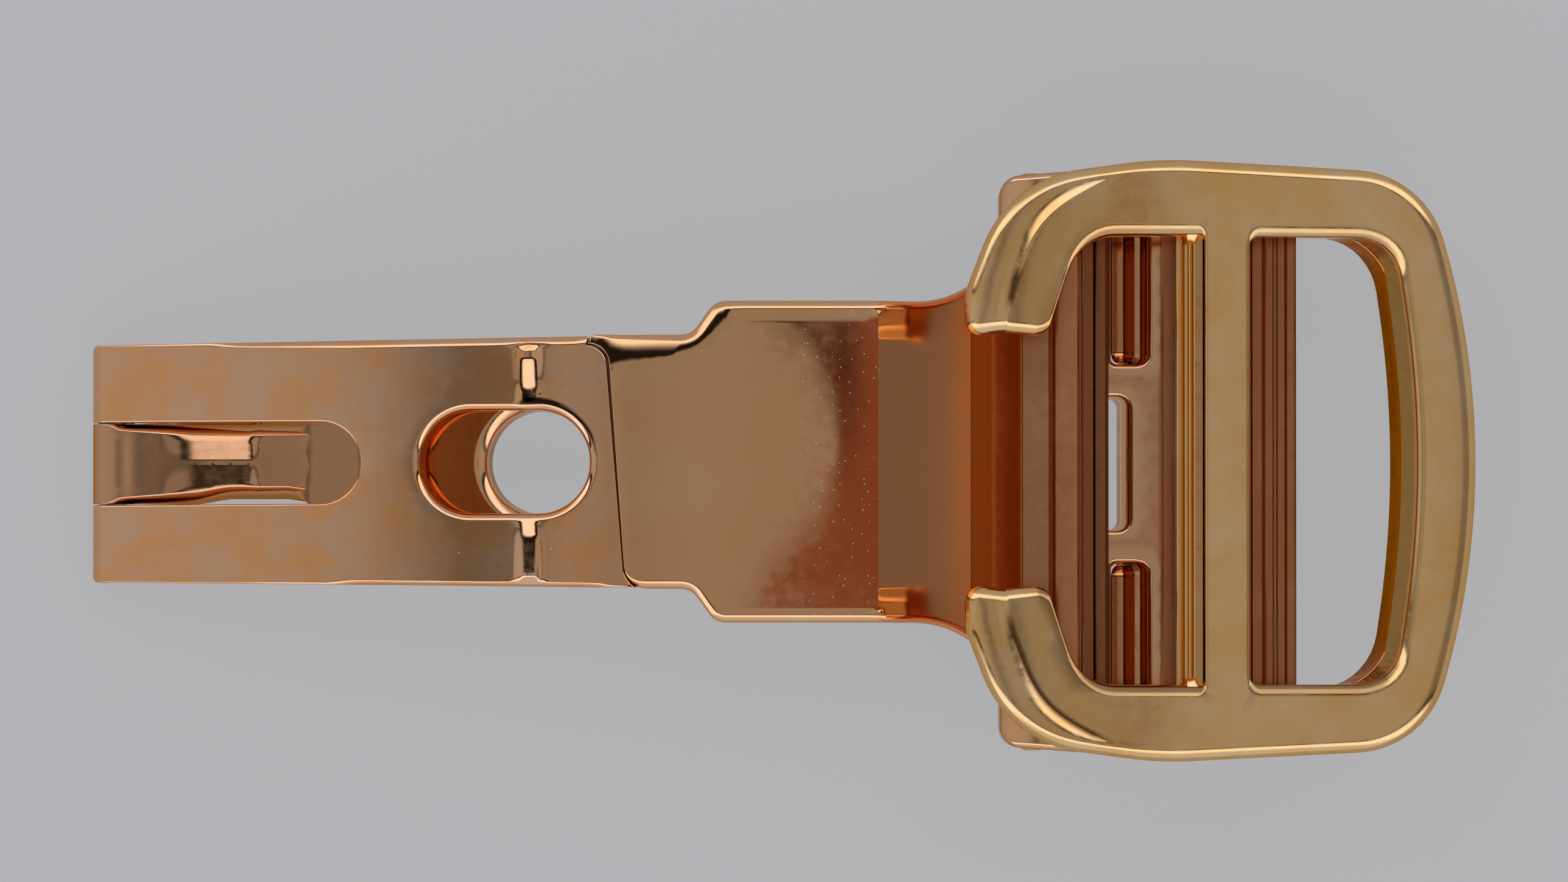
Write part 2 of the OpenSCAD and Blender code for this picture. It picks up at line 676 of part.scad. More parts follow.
// Snap plunger with a round nose, and the spring behind it
plunger_back = snap_tip + plunger_len;
module detent_plunger(s) {
    color(STEEL) translate([snap_x, 0, snap_z]) rotate([-90 * s, 0, 0]) {
        translate([0, 0, snap_tip + plunger_r]) sphere(r = plunger_r);
        translate([0, 0, snap_tip + plunger_r]) cylinder(r = plunger_r, h = plunger_len - plunger_r);
    }
}
module detent_spring(s) {
    wire = 0.08;
    len = rail_in + snap_bore_len - plunger_back - plunger_travel - 0.03;
    color(STEEL) translate([snap_x, 0, snap_z]) rotate([-90 * s, 0, 0])
        translate([0, 0, rail_in + snap_bore_len - len]) difference() {
            cylinder(r = plunger_r - 0.02, h = len);
            translate([0, 0, -1]) cylinder(r = plunger_r - 0.02 - wire, h = len + 2);
        }
}

// Sprung leaf whose nose holds the closed clasp on the end plate's window
module catch_leaf() {
    nose_x0 = mid_window_x0 + 0.01;
    color(STEEL) difference() {
        union() {
            box(nose_x0, leaf_x1, -leaf_half, leaf_half, leaf_z1 - leaf_t, leaf_z1);
            box(nose_x0, nose_x0 + nose_t, -nose_half, nose_half, nose_z0, leaf_z1 - leaf_t + eps);
            intersection() {
                bar_y(nose_x0 + nose_bead_r - catch_depth - 0.01, nose_z0 + nose_bead_r, nose_bead_r,
                    -nose_half, nose_half);
                box(nose_x0 - 1, nose_x0 + nose_t, -far, far, 0, far);
            }
        }
        for (s = [-1, 1]) translate([leaf_x1 - 0.45, s * 0.9, 0]) cylinder(r = rivet_r, h = crown_z);
    }
}
module catch_rivets() {
    color(ROSE) for (s = [-1, 1]) translate([leaf_x1 - 0.45, s * 0.9, leaf_z1 - leaf_t])
        cylinder(r = rivet_r, h = floor_z1 - 0.1 - leaf_z1 + leaf_t);
}

lower_blade();
strap_end_plate();
strap_pin(1);  // strap_pin_a
strap_pin(-1);  // strap_pin_b
upper_blade();
fold_hinge_pin();
head_plate();
base_ring();
front_grip_block();
rear_grip_bar();
frame_pin(1);  // frame_pin_a
frame_pin(-1);  // frame_pin_b
detent_spring(1);  // detent_spring_a
detent_spring(-1);  // detent_spring_b
detent_plunger(1);  // detent_plunger_a
detent_plunger(-1);  // detent_plunger_b
catch_leaf();
catch_rivets();
front_frame();
clamp_bar();
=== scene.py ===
"""Looks of the deployant clasp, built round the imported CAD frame.

Sizes are in millimetres until a mesh is made. X runs from the fold hinge to the bow of the front
frame, Y across the strap and Z up, as in the part's source, whose values are repeated below.
"""
import math

import bmesh
import bpy
import numpy as np
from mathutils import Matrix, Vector
from mathutils.geometry import delaunay_2d_cdt


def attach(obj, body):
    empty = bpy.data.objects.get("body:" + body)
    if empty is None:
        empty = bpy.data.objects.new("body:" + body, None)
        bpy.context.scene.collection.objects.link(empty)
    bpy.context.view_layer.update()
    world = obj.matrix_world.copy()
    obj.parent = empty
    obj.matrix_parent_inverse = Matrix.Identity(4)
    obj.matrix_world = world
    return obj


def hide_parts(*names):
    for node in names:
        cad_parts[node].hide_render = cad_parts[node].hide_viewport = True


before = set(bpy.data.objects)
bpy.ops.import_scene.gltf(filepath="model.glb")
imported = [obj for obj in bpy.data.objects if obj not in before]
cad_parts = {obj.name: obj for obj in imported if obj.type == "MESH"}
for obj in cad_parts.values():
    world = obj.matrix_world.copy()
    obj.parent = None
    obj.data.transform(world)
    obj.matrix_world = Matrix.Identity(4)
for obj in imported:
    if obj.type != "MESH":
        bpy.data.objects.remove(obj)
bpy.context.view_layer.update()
scene = bpy.context.scene
MM = 0.001

# ---------------- sizes of the part
LEFT, RIGHT = -23.25, 23.25
FRAME_W = 20.1
ARCH_R, CROWN_X = 64.0, 0.6
BLADE_T, LOWER_T, BLADE_GAP = 1.1, 0.9, 0.2
KNUCKLE_R = 0.8
HINGE_X, HINGE_Z = LEFT + KNUCKLE_R, KNUCKLE_R
ARCH_CZ = HINGE_Z - math.sqrt((ARCH_R - KNUCKLE_R) ** 2 - (HINGE_X - CROWN_X) ** 2)
CROWN_Z = ARCH_CZ + ARCH_R
FRAME_CX = RIGHT - 12.15
FRAME_R, FRAME_T = 29.0, 1.3
FRAME_CZ = CROWN_Z + 1.9 - FRAME_R
SLOT_W, SLOT_LEN = 2.74, 9.15
FACET_X0, FACET_X1 = FRAME_CX - 7.85, FRAME_CX - 4.7
PLATE_X0 = FACET_X0 - 8.75
FACET_Z = CROWN_Z - 2.1
FLOOR_Z0, FLOOR_Z1 = 2.05, 2.65
BLADE_W0, BLADE_W1, PLATE_W = 8.0, 8.5, 10.76
WINDOW_HALF = 7.45
BAR_X0 = FRAME_CX + 3.02
BAR_X1 = BAR_X0 + 1.45
TIP_X = FACET_X1 - 0.16
BOW_R, BOW_WALL, BOW_IN = 26.0, 1.85, 2.75
BOW_TILT = math.asin((RIGHT - BOW_WALL - FRAME_CX) / FRAME_R)
PIVOT_X, PIVOT_Z = FRAME_CX - 2.7, CROWN_Z - 0.6
END_X0, END_TOP = FRAME_CX - 3.5, 1.85
REAR_X1 = FRAME_CX + 6.2


def dome(x, cx, cz, r):
    """Height at x of a round surface about (cx, cz)."""
    return cz + math.sqrt(max(r * r - (x - cx) ** 2, 1.0))


def arch(x, r=ARCH_R):
    """Height of the blades' arch at radius r."""
    return dome(x, CROWN_X, ARCH_CZ, r)


def crown(x, r=FRAME_R):
    """Height of the front frame's curved surface at radius r."""
    return dome(x, FRAME_CX, FRAME_CZ, r)


def level(z):
    """Height function of a flat face."""
    return lambda x, y: z


def clip(v, lo=0.0, hi=1.0):
    """v held between lo and hi."""
    return min(max(v, lo), hi)


def ease(f):
    """Smooth way from 0 to 1."""
    return f * f * (3 - 2 * f)


def step01(x, a, b):
    """0 before a, 1 after b, smooth between."""
    return ease(clip((x - a) / (b - a)))


def arch_then_fall(x, r, x0, x1, z1):
    """Arch up to x0, then a straight fall to the height z1 at x1, and level after it."""
    if x < x0:
        return arch(x, r)
    z0 = arch(x0, r)
    return max(z0 + (z1 - z0) * (x - x0) / (x1 - x0), z1)


# ---------------- outlines
PLAIN = [0.2, 0.1]  # width and depth of an edge that names none
SHARP = 0.01        # corners of a smaller radius stay sharp
WIDE = 0.75         # round corners of a greater radius an edge's width changes smoothly
ARC_STEP = 0.16     # greatest angle between two points of a corner
LEAST_R = 0.012     # radius that a corner keeps as it is drawn in
IN_LINE = 0.25      # sides that turn by less than this (a sine) count as one straight side
# how far a face's inner points keep from its edges: the grid's in its own steps, the others in mm
GRID_OFF, EXTRA_OFF, LINE_OFF = 0.35, 0.06, 0.04


def unit(v):
    """Vector of length 1."""
    return v / max(np.linalg.norm(v), 1e-9)


class Outline:
    """Closed plan outline from corners [x, y, radius, width, depth].

    The last two give the edge's profile along the side that follows the corner. ring(u) gives the
    outline drawn in by u times that width.
    """

    def __init__(self, corners, res=0.3, hole=False):
        c = [list(p) + PLAIN[len(p) - 3:] for p in corners]
        pts = np.array([p[:2] for p in c], float)
        nxt = np.roll(pts, -1, axis=0)
        if np.sum(pts[:, 0] * nxt[:, 1] - nxt[:, 0] * pts[:, 1]) < 0:
            c = [c[i][:3] + c[i - 1][3:] for i in range(0, -len(c), -1)]
            pts = np.array([p[:2] for p in c], float)
        self.c, self.n = c, len(c)
        self.side = -1.0 if hole else 1.0
        self.e = [unit(pts[(i + 1) % self.n] - pts[i]) for i in range(self.n)]
        self.nrm = [self.side * np.array([-e[1], e[0]]) for e in self.e]
        self.steps = []
        for i in range(self.n):
            turn, r = abs(self._turn(i)), c[i][2]
            self.steps.append(max(3, math.ceil(turn * r / res), math.ceil(turn / ARC_STEP))
                              if r > SHARP else 1)
        arcs = self._arcs(0.0)
        gaps = [np.linalg.norm(arcs[(i + 1) % self.n][0] - arcs[i][-1]) for i in range(self.n)]
        self.runs = [max(1, math.ceil(gap / res)) for gap in gaps]
        self.w, self.h = self._along(3), self._along(4)

    def _turn(self, i):
        """Angle by which the outline turns at a corner."""
        e1, e2 = self.e[i - 1], self.e[i]
        return math.atan2(e1[0] * e2[1] - e1[1] * e2[0], float(e1 @ e2))

    def _arcs(self, u):
        """Each corner's points, drawn in by u."""
        out = []
        for i in range(self.n):
            at, r = np.array(self.c[i][:2]), self.c[i][2]
            w1, w2 = self.c[i - 1][3], self.c[i][3]
            e1, n1, n2 = self.e[i - 1], self.nrm[i - 1], self.nrm[i]
            turn, k = self._turn(i), self.steps[i]
            convex = turn * self.side > 0
            left = np.array([-e1[1], e1[0]]) * (1 if turn > 0 else -1)
            spokes = [unit(-left * math.cos(turn * j / k) + e1 * math.sin(abs(turn) * j / k))
                      for j in range(k + 1)]
            tangent = math.tan(abs(turn) / 2)
            if r > WIDE and abs(w1 - w2) > 1e-6:
                mid = at - e1 * (r * tangent) + left * r
                widths = [w1 + (w2 - w1) * ease(j / k) for j in range(k + 1)]
                out.append(np.array([mid + d * r + (-d if convex else d) * w * u
                                     for d, w in zip(spokes, widths)]))
                continue
            sides = np.array([n1, n2])
            if abs(np.linalg.det(sides)) < IN_LINE:
                at = at + unit(n1 + n2) * 0.5 * (w1 + w2) * u
            else:
                at = at + np.linalg.solve(sides, np.array([w1, w2])) * u
            if r < SHARP:
                out.append(np.array([at, at]))
                continue
            w = 0.5 * (w1 + w2)
            r = max(LEAST_R, r - w * u) if convex else r + w * u
            mid = at - e1 * (r * tangent) + left * r
            out.append(np.array([mid + r * d for d in spokes]))
        return out

    def _along(self, col):
        """Width or depth of the edge at each point of ring()."""
        vals = []
        for i in range(self.n):
            a, b = self.c[i - 1][col], self.c[i][col]
            k = self.steps[i]
            if self.c[i][2] < SHARP:
                vals.append(0.5 * (a + b))
            else:
                vals += [a + (b - a) * ease(j / k) for j in range(k + 1)]
            vals += [b] * (self.runs[i] - 1)
        return np.array(vals)

    def ring(self, u):
        """Points of the outline drawn in by u."""
        arcs = self._arcs(u)
        out = []
        for i, arc in enumerate(arcs):
            out += list(arc[:1] if self.c[i][2] < SHARP else arc)
            p, q, m = arc[-1], arcs[(i + 1) % self.n][0], self.runs[i]
            out += [p + (q - p) * j / m for j in range(1, m)]
        return np.array(out)

    def paired(self, other):
        """This outline with as many points as another, so that faces can join the two."""
        self.steps, self.runs = other.steps, other.runs
        return self


def both_sides(half):
    """Corners of one half, then the same on the other side, walked back."""
    back = []
    for i in range(len(half) - 1, -1, -1):
        x, y, r = half[i][:3]
        if abs(y) > 1e-4:
            back.append([x, -y, r, *(half[i - 1][3:] if i else [])])
    return [*half, *back]


def inside(poly, pts):
    """Which points lie inside a closed outline."""
    x, y = pts[:, 0][:, None], pts[:, 1][:, None]
    x1, y1 = poly[:, 0][None], poly[:, 1][None]
    x2, y2 = np.roll(x1, -1, axis=1), np.roll(y1, -1, axis=1)
    cross = ((y1 > y) != (y2 > y)) & (x < (x2 - x1) * (y - y1) / (y2 - y1 + 1e-12) + x1)
    return cross.sum(axis=1) % 2 == 1


def far_from(poly, pts, d):
    """Which points keep the distance d from an outline's sides."""
    a, b = poly, np.roll(poly, -1, axis=0)
    ab = b - a
    t = np.einsum("pij,ij->pi", pts[:, None] - a[None], ab) / (np.sum(ab * ab, axis=1) + 1e-12)
    near = a[None] + np.clip(t, 0, 1)[..., None] * ab[None]
    return np.sqrt(np.min(np.sum((pts[:, None] - near) ** 2, axis=2), axis=1)) > d


def free(loops, pts, d=0.0):
    """Which points lie inside the first loop and outside the others, d away from them all."""
    ok = inside(loops[0], pts)
    for hole_loop in loops[1:]:
        ok &= ~inside(hole_loop, pts)
    if d:
        for loop in loops:
            ok &= far_from(loop, pts, d)
    return ok


def fill(bm, rings, height, grid, flip, extra=(), lines=()):
    """Faces between a ring and its holes, on a height function, with a grid of points inside.

    extra adds points, and lines are rows of points that an edge runs along.
    """
    loops = [np.array([v.co[:2] for v in r]) for r in rings]
    lo, hi = loops[0].min(axis=0), loops[0].max(axis=0)
    gx = np.arange(lo[0] + grid / 2, hi[0], grid)
    gy = np.arange(lo[1] + grid / 2, hi[1], grid)
    pts = np.array([(x + (0.5 * grid if j % 2 else 0), y) for j, y in enumerate(gy) for x in gx])
    pts = pts[free(loops, pts, GRID_OFF * grid)]
    if len(extra):
        more = np.array(extra, float)
        pts = np.vstack([pts, more[free(loops, more, EXTRA_OFF)]])
    chains = []
    for line in lines:
        line = np.array(line, float)
        idx = np.flatnonzero(free(loops, line, LINE_OFF))
        if not len(idx):
            continue
        gap = np.linalg.norm(line[1] - line[0])
        d = np.min(np.linalg.norm(pts[:, None] - line[None, idx], axis=2), axis=1)
        keep = d > 0.4 * max(gap, 0.08)
        shift, base = np.cumsum(keep) - 1, int(keep.sum())
        chains = [(shift[p], shift[q]) for p, q in chains if keep[p] and keep[q]]
        chains += [(base + k, base + k + 1) for k in np.flatnonzero(np.diff(idx) == 1)]
        pts = np.vstack([pts[keep], line[idx]])
    verts = [v for r in rings for v in r]
    coords = [Vector(v.co[:2]) for v in verts] + [Vector(p) for p in pts]
    verts += [bm.verts.new((x, y, float(height(x, y)))) for x, y in pts]
    edges, k = [], 0
    for r in rings:
        edges += [(k + i, k + (i + 1) % len(r)) for i in range(len(r))]
        k += len(r)
    edges += [(k + p, k + q) for p, q in chains]
    spots, _, faces, source = delaunay_2d_cdt(coords, edges, [], 0, 1e-7)[:4]
    centres = np.array([np.mean([spots[i][:] for i in f], axis=0) for f in faces])
    for f, within in zip(faces, free(loops, centres)):
        vs = [verts[source[i][0]] for i in f if source[i]]
        if not within or len(set(vs)) < 3:
            continue
        if flip:
            vs.reverse()
        try:
            bm.faces.new(vs)
        except ValueError:  # the face is there already
            pass


def to_object(bm, name, material, sharp=None):
    """Object in metres with smooth shading, split where faces meet at more than sharp degrees."""
    bmesh.ops.remove_doubles(bm, verts=bm.verts, dist=1e-5)
    bmesh.ops.dissolve_degenerate(bm, edges=bm.edges, dist=1e-6)
    bmesh.ops.recalc_face_normals(bm, faces=bm.faces)
    for v in bm.verts:
        v.co *= MM
    me = bpy.data.meshes.new(name)
    bm.to_mesh(me)
    bm.free()
    me.polygons.foreach_set("use_smooth", [True] * len(me.polygons))
    if sharp:
        me.set_sharp_from_angle(angle=math.radians(sharp))
    me.update()
    me.materials.append(material)
    ob = bpy.data.objects.new(name, me)
    scene.collection.objects.link(ob)
    even = ob.modifiers.new("even", "WEIGHTED_NORMAL")
    even.keep_sharp = bool(sharp)
    even.weight = 60
    return ob


def wrap(bm, rows, flip=False):
    """Faces between rings of as many points, one after the other."""
    for a, b in zip(rows, rows[1:]):
        for i in range(len(a)):
            j = (i + 1) % len(a)
            quad = (a[i], a[j], b[j], b[i])
            bm.faces.new(quad[::-1] if flip else quad)


def capped(name, material, rings, sharp):
    """Closed bar through rings of points."""
    bm = bmesh.new()
    rows = [[bm.verts.new(p) for p in ring] for ring in rings]
    wrap(bm, rows)
    bm.faces.new(rows[0])
    bm.faces.new(rows[-1][::-1])
    return to_object(bm, name, material, sharp)


# profiles of an edge from its foot up: how far in, and how far below the top or above the bottom
ROUND = [(0, 1.3)] + [(1 - math.sin(a), 1 - math.cos(a))
                      for a in np.radians([84, 72, 60, 48, 38, 29, 21, 14, 7])] + [(1, 0)]
CHAMFER = [(0, 1.1), (0.015, 0.98), (0.05, 0.90), (0.12, 0.82), (0.84, 0.10), (0.92, 0.035),
           (0.97, 0.008), (1, 0)]
UNDER = [(1, 0), (0.3, 0.03), (0, 0.1)]


def plate(name, material, outlines, top, bottom, low=None, profile=ROUND, grid=0.5, under_w=0.12,
          sharp=None, extra=(), lines=()):
    """Closed plate between two height functions, with profiled edges.

    outlines are the outer one and the holes, and low are the same on the underside where they
    differ. extra and lines are points for the top's faces, as in fill.
    """
    bm = bmesh.new()
    tops, bottoms = [], []
    for up, foot in zip(outlines, low or outlines):
        scale = under_w / max(foot.w.max(), 1e-3)
        rows = [[bm.verts.new((x, y, float(bottom(x, y)) + rise)) for x, y in foot.ring(u * scale)]
                for u, rise in UNDER]
        rows += [[bm.verts.new((x, y, float(top(x, y)) - h * drop))
                  for (x, y), h in zip(up.ring(u), up.h)] for u, drop in profile]
        wrap(bm, rows, up.side < 0)
        tops.append(rows[-1])
        bottoms.append(rows[0])
    fill(bm, tops, top, grid, False, extra, lines)
    fill(bm, bottoms, bottom, grid, True)
    return to_object(bm, name, material, sharp)


def across(name, material, profile, half, cuts=1):
    """Profile in the XZ plane carried across the strap, half to each side."""
    ys = [-half + 2 * half * k / cuts for k in range(cuts + 1)]
    return capped(name, material, [[(x, y, z) for x, z in profile] for y in ys], 25)


def barrel(name, material, x, z, radii):
    """Round bar along Y: radii lists (y, radius) from one end to the other."""
    turns = [2 * math.pi * i / 64 for i in range(64)]
    return capped(name, material, [[(x + r * math.cos(a), y, z + r * math.sin(a)) for a in turns]
                                   for y, r in radii], 50)


def smooth(pts, step=0.1):
    """Points every step along a smooth curve through pts."""
    p = np.array(pts, float)
    p = np.vstack([2 * p[0] - p[1], p, 2 * p[-1] - p[-2]])
    out = []
    for a, b, c, d in zip(p, p[1:], p[2:], p[3:]):
        k = max(2, int(np.linalg.norm(c - b) / step))
        for j in range(k):
            t = j / k
            out.append(0.5 * (2 * b + (c - a) * t + (2 * a - 5 * b + 4 * c - d) * t * t
                              + (3 * b - a - 3 * c + d) * t ** 3))
    out.append(p[-2])
    return np.array(out)


def from_point(x, y, steps):
    """Points given by their steps from (x, y)."""
    return [(x + a, y + b) for a, b in steps]


def painted_shade(ob, amount):
    """Give the mesh the values, amount(x, y, z) in mm from 0 to 1, of where its material paints in
    shade; they go under this function's name.
    """
    values = ob.data.attributes.new("painted_shade", "FLOAT", "POINT")
    for v in ob.data.vertices:
        values.data[v.index].value = amount(*(np.array(v.co) / MM))


def dress(obs, node, body):
    """Pieces that stand for a CAD node ride on its body, and the node is hidden."""
    for ob in obs:
        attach(ob, body)
        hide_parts(node)


# ---------------- materials
class Nodes:
    """Short hand for building a node tree."""

    def __init__(self, tree):
        self.t = tree
        tree.nodes.clear()

    def put(self, socket, v):
        """Link another socket to this one, or set its value."""
        if isinstance(v, bpy.types.NodeSocket):
            self.t.links.new(v, socket)
        else:
            socket.default_value = v

    def add(self, kind, ins=None, **props):
        """New shader node with its inputs and properties."""
        n = self.t.nodes.new("ShaderNode" + kind)
        for k, v in props.items():
            setattr(n, k, v)
        for k, v in (ins or {}).items():
            self.put(n.inputs[k], v)
        return n

    def math(self, op, a, b=0.0, c=0.0):
        """Result of one sum."""
        return self.add("Math", {0: a, 1: b, 2: c}, operation=op).outputs[0]

    def times(self, *values):
        """Product of the values."""
        out = values[0]
        for v in values[1:]:
            out = self.math("MULTIPLY", out, v)
        return out

    def remap(self, v, lo, hi, to_lo=0.0, to_hi=1.0):
        """v from the range lo to hi, brought to the range to_lo to to_hi."""
        return self.add("MapRange", {"Value": v, "From Min": lo, "From Max": hi,
                                     "To Min": to_lo, "To Max": to_hi}).outputs[0]

    def ramp(self, fac, stops):
        """Grey at the stops (position, value), straight between."""
        n = self.add("ValToRGB", {"Fac": fac})
        e = n.color_ramp.elements
        while len(e) < len(stops):
            e.new(0.5)
        for el, (at, grey) in zip(e, stops):
            el.position = at
            el.color = (grey, grey, grey, 1)
        return n.outputs["Color"]

    def noise(self, vec, scale, detail=3.0, rough=0.55):
        """Noise, 0 to 1."""
        return self.add("TexNoise", {"Vector": vec, "Scale": scale, "Detail": detail,
                                     "Roughness": rough}).outputs["Fac"]

    def mix(self, fac, a, b):
        """Colour a, or b where fac is 1."""
        n = self.add("Mix", data_type="RGBA")
        for k, v in ((0, fac), (6, a), (7, b)):
            self.put(n.inputs[k], (*v, 1) if isinstance(v, tuple) else v)
        return n.outputs[2]


# directions of the fine scratches: turn about Z, scale along and across
SCRATCHES = ((0.35, 300, 26000), (-0.8, 350, 30000), (1.5, 260, 24000))
EASE = 0.12 * MM    # width over which a zone of painted shade fades in
FINE = 2600.0       # scale of the fine mottling
DUST = (0.55, 0.5, 0.46, 1)


def metal(name, colour, tint, rough, haze=0.6, scratch=0.25, wobble=0.3, dust=0.0, grain=None,
          painted_shade_zones=(), edge_tint=(0.92, 0.78, 0.62), patch=260.0, clear=None, dull=None,
          specks=(2600.0, 0.085), dusty=None, painted_shade=None):
    """Polished gold alloy: haze in patches, fine scratches, small dents and dust specks.

    The zones (x0, x1, half width, colour) in mm are painted over in that colour, as painted shade
    and reflected gold, kept clear of the round place clear (x, y, radius). dull (x0, x1, amount)
    roughens it along X. specks gives the dust's scale and size, dusty the X range that it lies in,
    and the last argument, a colour, is painted in as shade where the mesh's own values of the same
    name are high.
    """
    m = bpy.data.materials.new(name)
    m.use_nodes = True
    t = Nodes(m.node_tree)
    pos = t.add("TexCoord").outputs["Object"]
    x, y, _ = t.add("SeparateXYZ", {0: pos}).outputs
    cloud = t.noise(pos, patch, 5.0, 0.64)
    mottled = t.math("MULTIPLY_ADD", t.noise(pos, FINE, 3.0, 0.6), 0.45, t.times(cloud, 0.55))
    scr = 0.0
    for k, (turn, along, over) in enumerate(SCRATCHES):
        mapped = t.add("Mapping", {
            "Vector": pos, "Rotation": (0, 0, turn), "Scale": (along, over, along),
            "Location": (k * 3.1, k * 1.7, 0)}).outputs[0]
        line = t.ramp(t.noise(mapped, 1.0, 1.0, 0.4), [(0.70, 0.0), (0.74, 1.0)])
        scr = t.math("MAXIMUM", scr, line)
    rgh = t.remap(t.ramp(mottled, [(0.42, 0.0), (0.62, 1.0)]), 0.0, 1.0, *rough)
    rgh = t.math("MULTIPLY_ADD", scr, 0.12 * scratch, rgh)
    tone = t.mix(t.times(t.ramp(cloud, [(0.36, 0.0), (0.64, 1.0)]), haze), colour, tint)
    # painted shade: each zone's colour laid over its place, eased in at its sides
    for x0, x1, half, dark in painted_shade_zones:
        here = t.times(t.remap(x, x0 * MM - EASE, x0 * MM),
                       t.remap(x, x1 * MM, x1 * MM + EASE, 1.0, 0.0),
                       t.remap(t.math("ABSOLUTE", y), half * MM, half * MM + EASE, 1.0, 0.0))
        if clear:
            off_x = t.math("SUBTRACT", x, clear[0] * MM)
            off_y = t.math("SUBTRACT", y, clear[1] * MM)
            away = t.math("SQRT", t.math("MULTIPLY_ADD", off_x, off_x, t.times(off_y, off_y)))
            here = t.times(here, t.math("GREATER_THAN", away, clear[2] * MM))
        tone = t.mix(here, tone, dark)
    # painted shade: the last colour mixed in where the mesh's own values are high
    if painted_shade:
        amount = t.add("Attribute", attribute_name="painted_shade").outputs["Fac"]
        tone = t.mix(amount, tone, painted_shade)
    if dull:
        rgh = t.math("ADD", rgh, t.remap(x, dull[0] * MM, dull[1] * MM, 0.0, dull[2]))
    bump_h = t.math("ADD", t.noise(pos, 420.0, 2.0, 0.5), t.times(scr, -0.05 * scratch))
    if grain:
        mapped = t.add("Mapping", {"Vector": pos, "Scale": grain}).outputs[0]
        g = t.noise(mapped, 1.0, 3.0, 0.6)
        bump_h = t.math("MULTIPLY_ADD", g, 0.35, bump_h)
        rgh = t.math("MULTIPLY_ADD", g, 0.10, rgh)
    bump = t.add("Bump", {"Height": bump_h, "Strength": wobble, "Distance": 0.00002})
    surface = t.add("BsdfPrincipled", {
        "Base Color": tone, "Roughness": rgh, "Normal": bump.outputs[0], "Metallic": 1.0,
        "Specular Tint": (*edge_tint, 1)}).outputs[0]
    if dust:
        cells = t.add("TexVoronoi", {"Vector": pos, "Scale": specks[0]})
        pick = t.add("SeparateColor", {0: cells.outputs["Color"]}).outputs[0]
        speck = t.times(t.math("GREATER_THAN", pick, 1 - dust),
                        t.math("LESS_THAN", cells.outputs["Distance"], specks[1]))
        if dusty:
            speck = t.times(speck, t.math("GREATER_THAN", x, dusty[0] * MM),
                            t.math("LESS_THAN", x, dusty[1] * MM))
        grey = t.add("BsdfDiffuse", {"Color": DUST}).outputs[0]
        mixed = t.add("MixShader", {0: t.times(speck, 0.6), 1: surface, 2: grey})
        surface = mixed.outputs[0]
    t.add("OutputMaterial", {0: surface})
    return m


ALLOY, WORN = (0.80, 0.43, 0.21), (0.82, 0.49, 0.29)
ROSE = metal("rose_gold", ALLOY, WORN, rough=(0.07, 0.15), dust=0.03)
# its top takes painted shade, nearly black, in the seam between the blade and the head plate
ROSE_LAP = metal("rose_gold_lap", ALLOY, WORN, rough=(0.12, 0.2), painted_shade=(0.15, 0.13, 0.10))
# hazed patches of wear; the last colour is painted shade, nearly black, in a crescent beside the
# oblong hole
ROSE_HAZE_AND_SHADE = metal("rose_gold_worn_and_painted_shade", (0.84, 0.405, 0.17), (0.77, 0.47, 0.29), rough=(0.12, 0.22),
                  haze=1.0, wobble=0.2, dust=0.02, patch=520.0, dull=(-14.5, -11.5, -0.10),
                  painted_shade=(0.03, 0.02, 0.013))
# darker copy of the rose gold, with a darker edge tint: painted shade on the tongue down in the
# slot
ROSE_TONGUE = metal("rose_gold_tongue", (0.66, 0.335, 0.165), (0.69, 0.39, 0.225),
                    rough=(0.08, 0.15), haze=0.7, wobble=0.2, edge_tint=(0.78, 0.40, 0.16))
# the zone over the facet is painted darker and redder: a painted reflection of the gold round it
ROSE_PLATE = metal("rose_gold_plate", (0.80, 0.425, 0.20), (0.82, 0.48, 0.27), rough=(0.025, 0.06),
                   wobble=0.05, scratch=0.0, dust=0.6, specks=(5000.0, 0.13),
                   dusty=(0.6, 3.3), dull=(3.4, 6.4, 0.22),
                   painted_shade_zones=[(3.3, 6.45, 6.5, (0.82, 0.355, 0.155))])
# its zones are painted shade: dark orange where the lower blade shows through the oblong hole, kept
# clear of the round hole, and darker past the tongue in the slot
ROSE_LOW = metal("rose_gold_lower", ALLOY, (0.82, 0.48, 0.28), rough=(0.07, 0.14), haze=0.5,
                 painted_shade_zones=[(-12.3, -8.2, 2.2, (0.60, 0.145, 0.03)),
                       (-16.9, -13.6, 1.7, (0.67, 0.355, 0.185))], clear=(-8.1, 0, 2.2))
# darker, redder copy of the rose gold: painted shade on the recess under the head plate, with a
# still darker band of painted shade across X
ROSE_SHADED = metal("rose_gold_painted_shade", (0.70, 0.265, 0.085), (0.74, 0.30, 0.11),
                  rough=(0.16, 0.24), haze=0.5, painted_shade_zones=[(6.2, 7.05, 9.0, (0.48, 0.135, 0.032))])
# the zone and the darker edge tint are painted shade on the wall inside the bow window
ROSE_RING = metal("rose_gold_ring", ALLOY, WORN, rough=(0.08, 0.16),
                  painted_shade_zones=[(18.2, 21.6, 8.0, (0.64, 0.26, 0.09))], edge_tint=(0.62, 0.30, 0.13))
ALONG_GROOVES = (9000, 250, 9000)
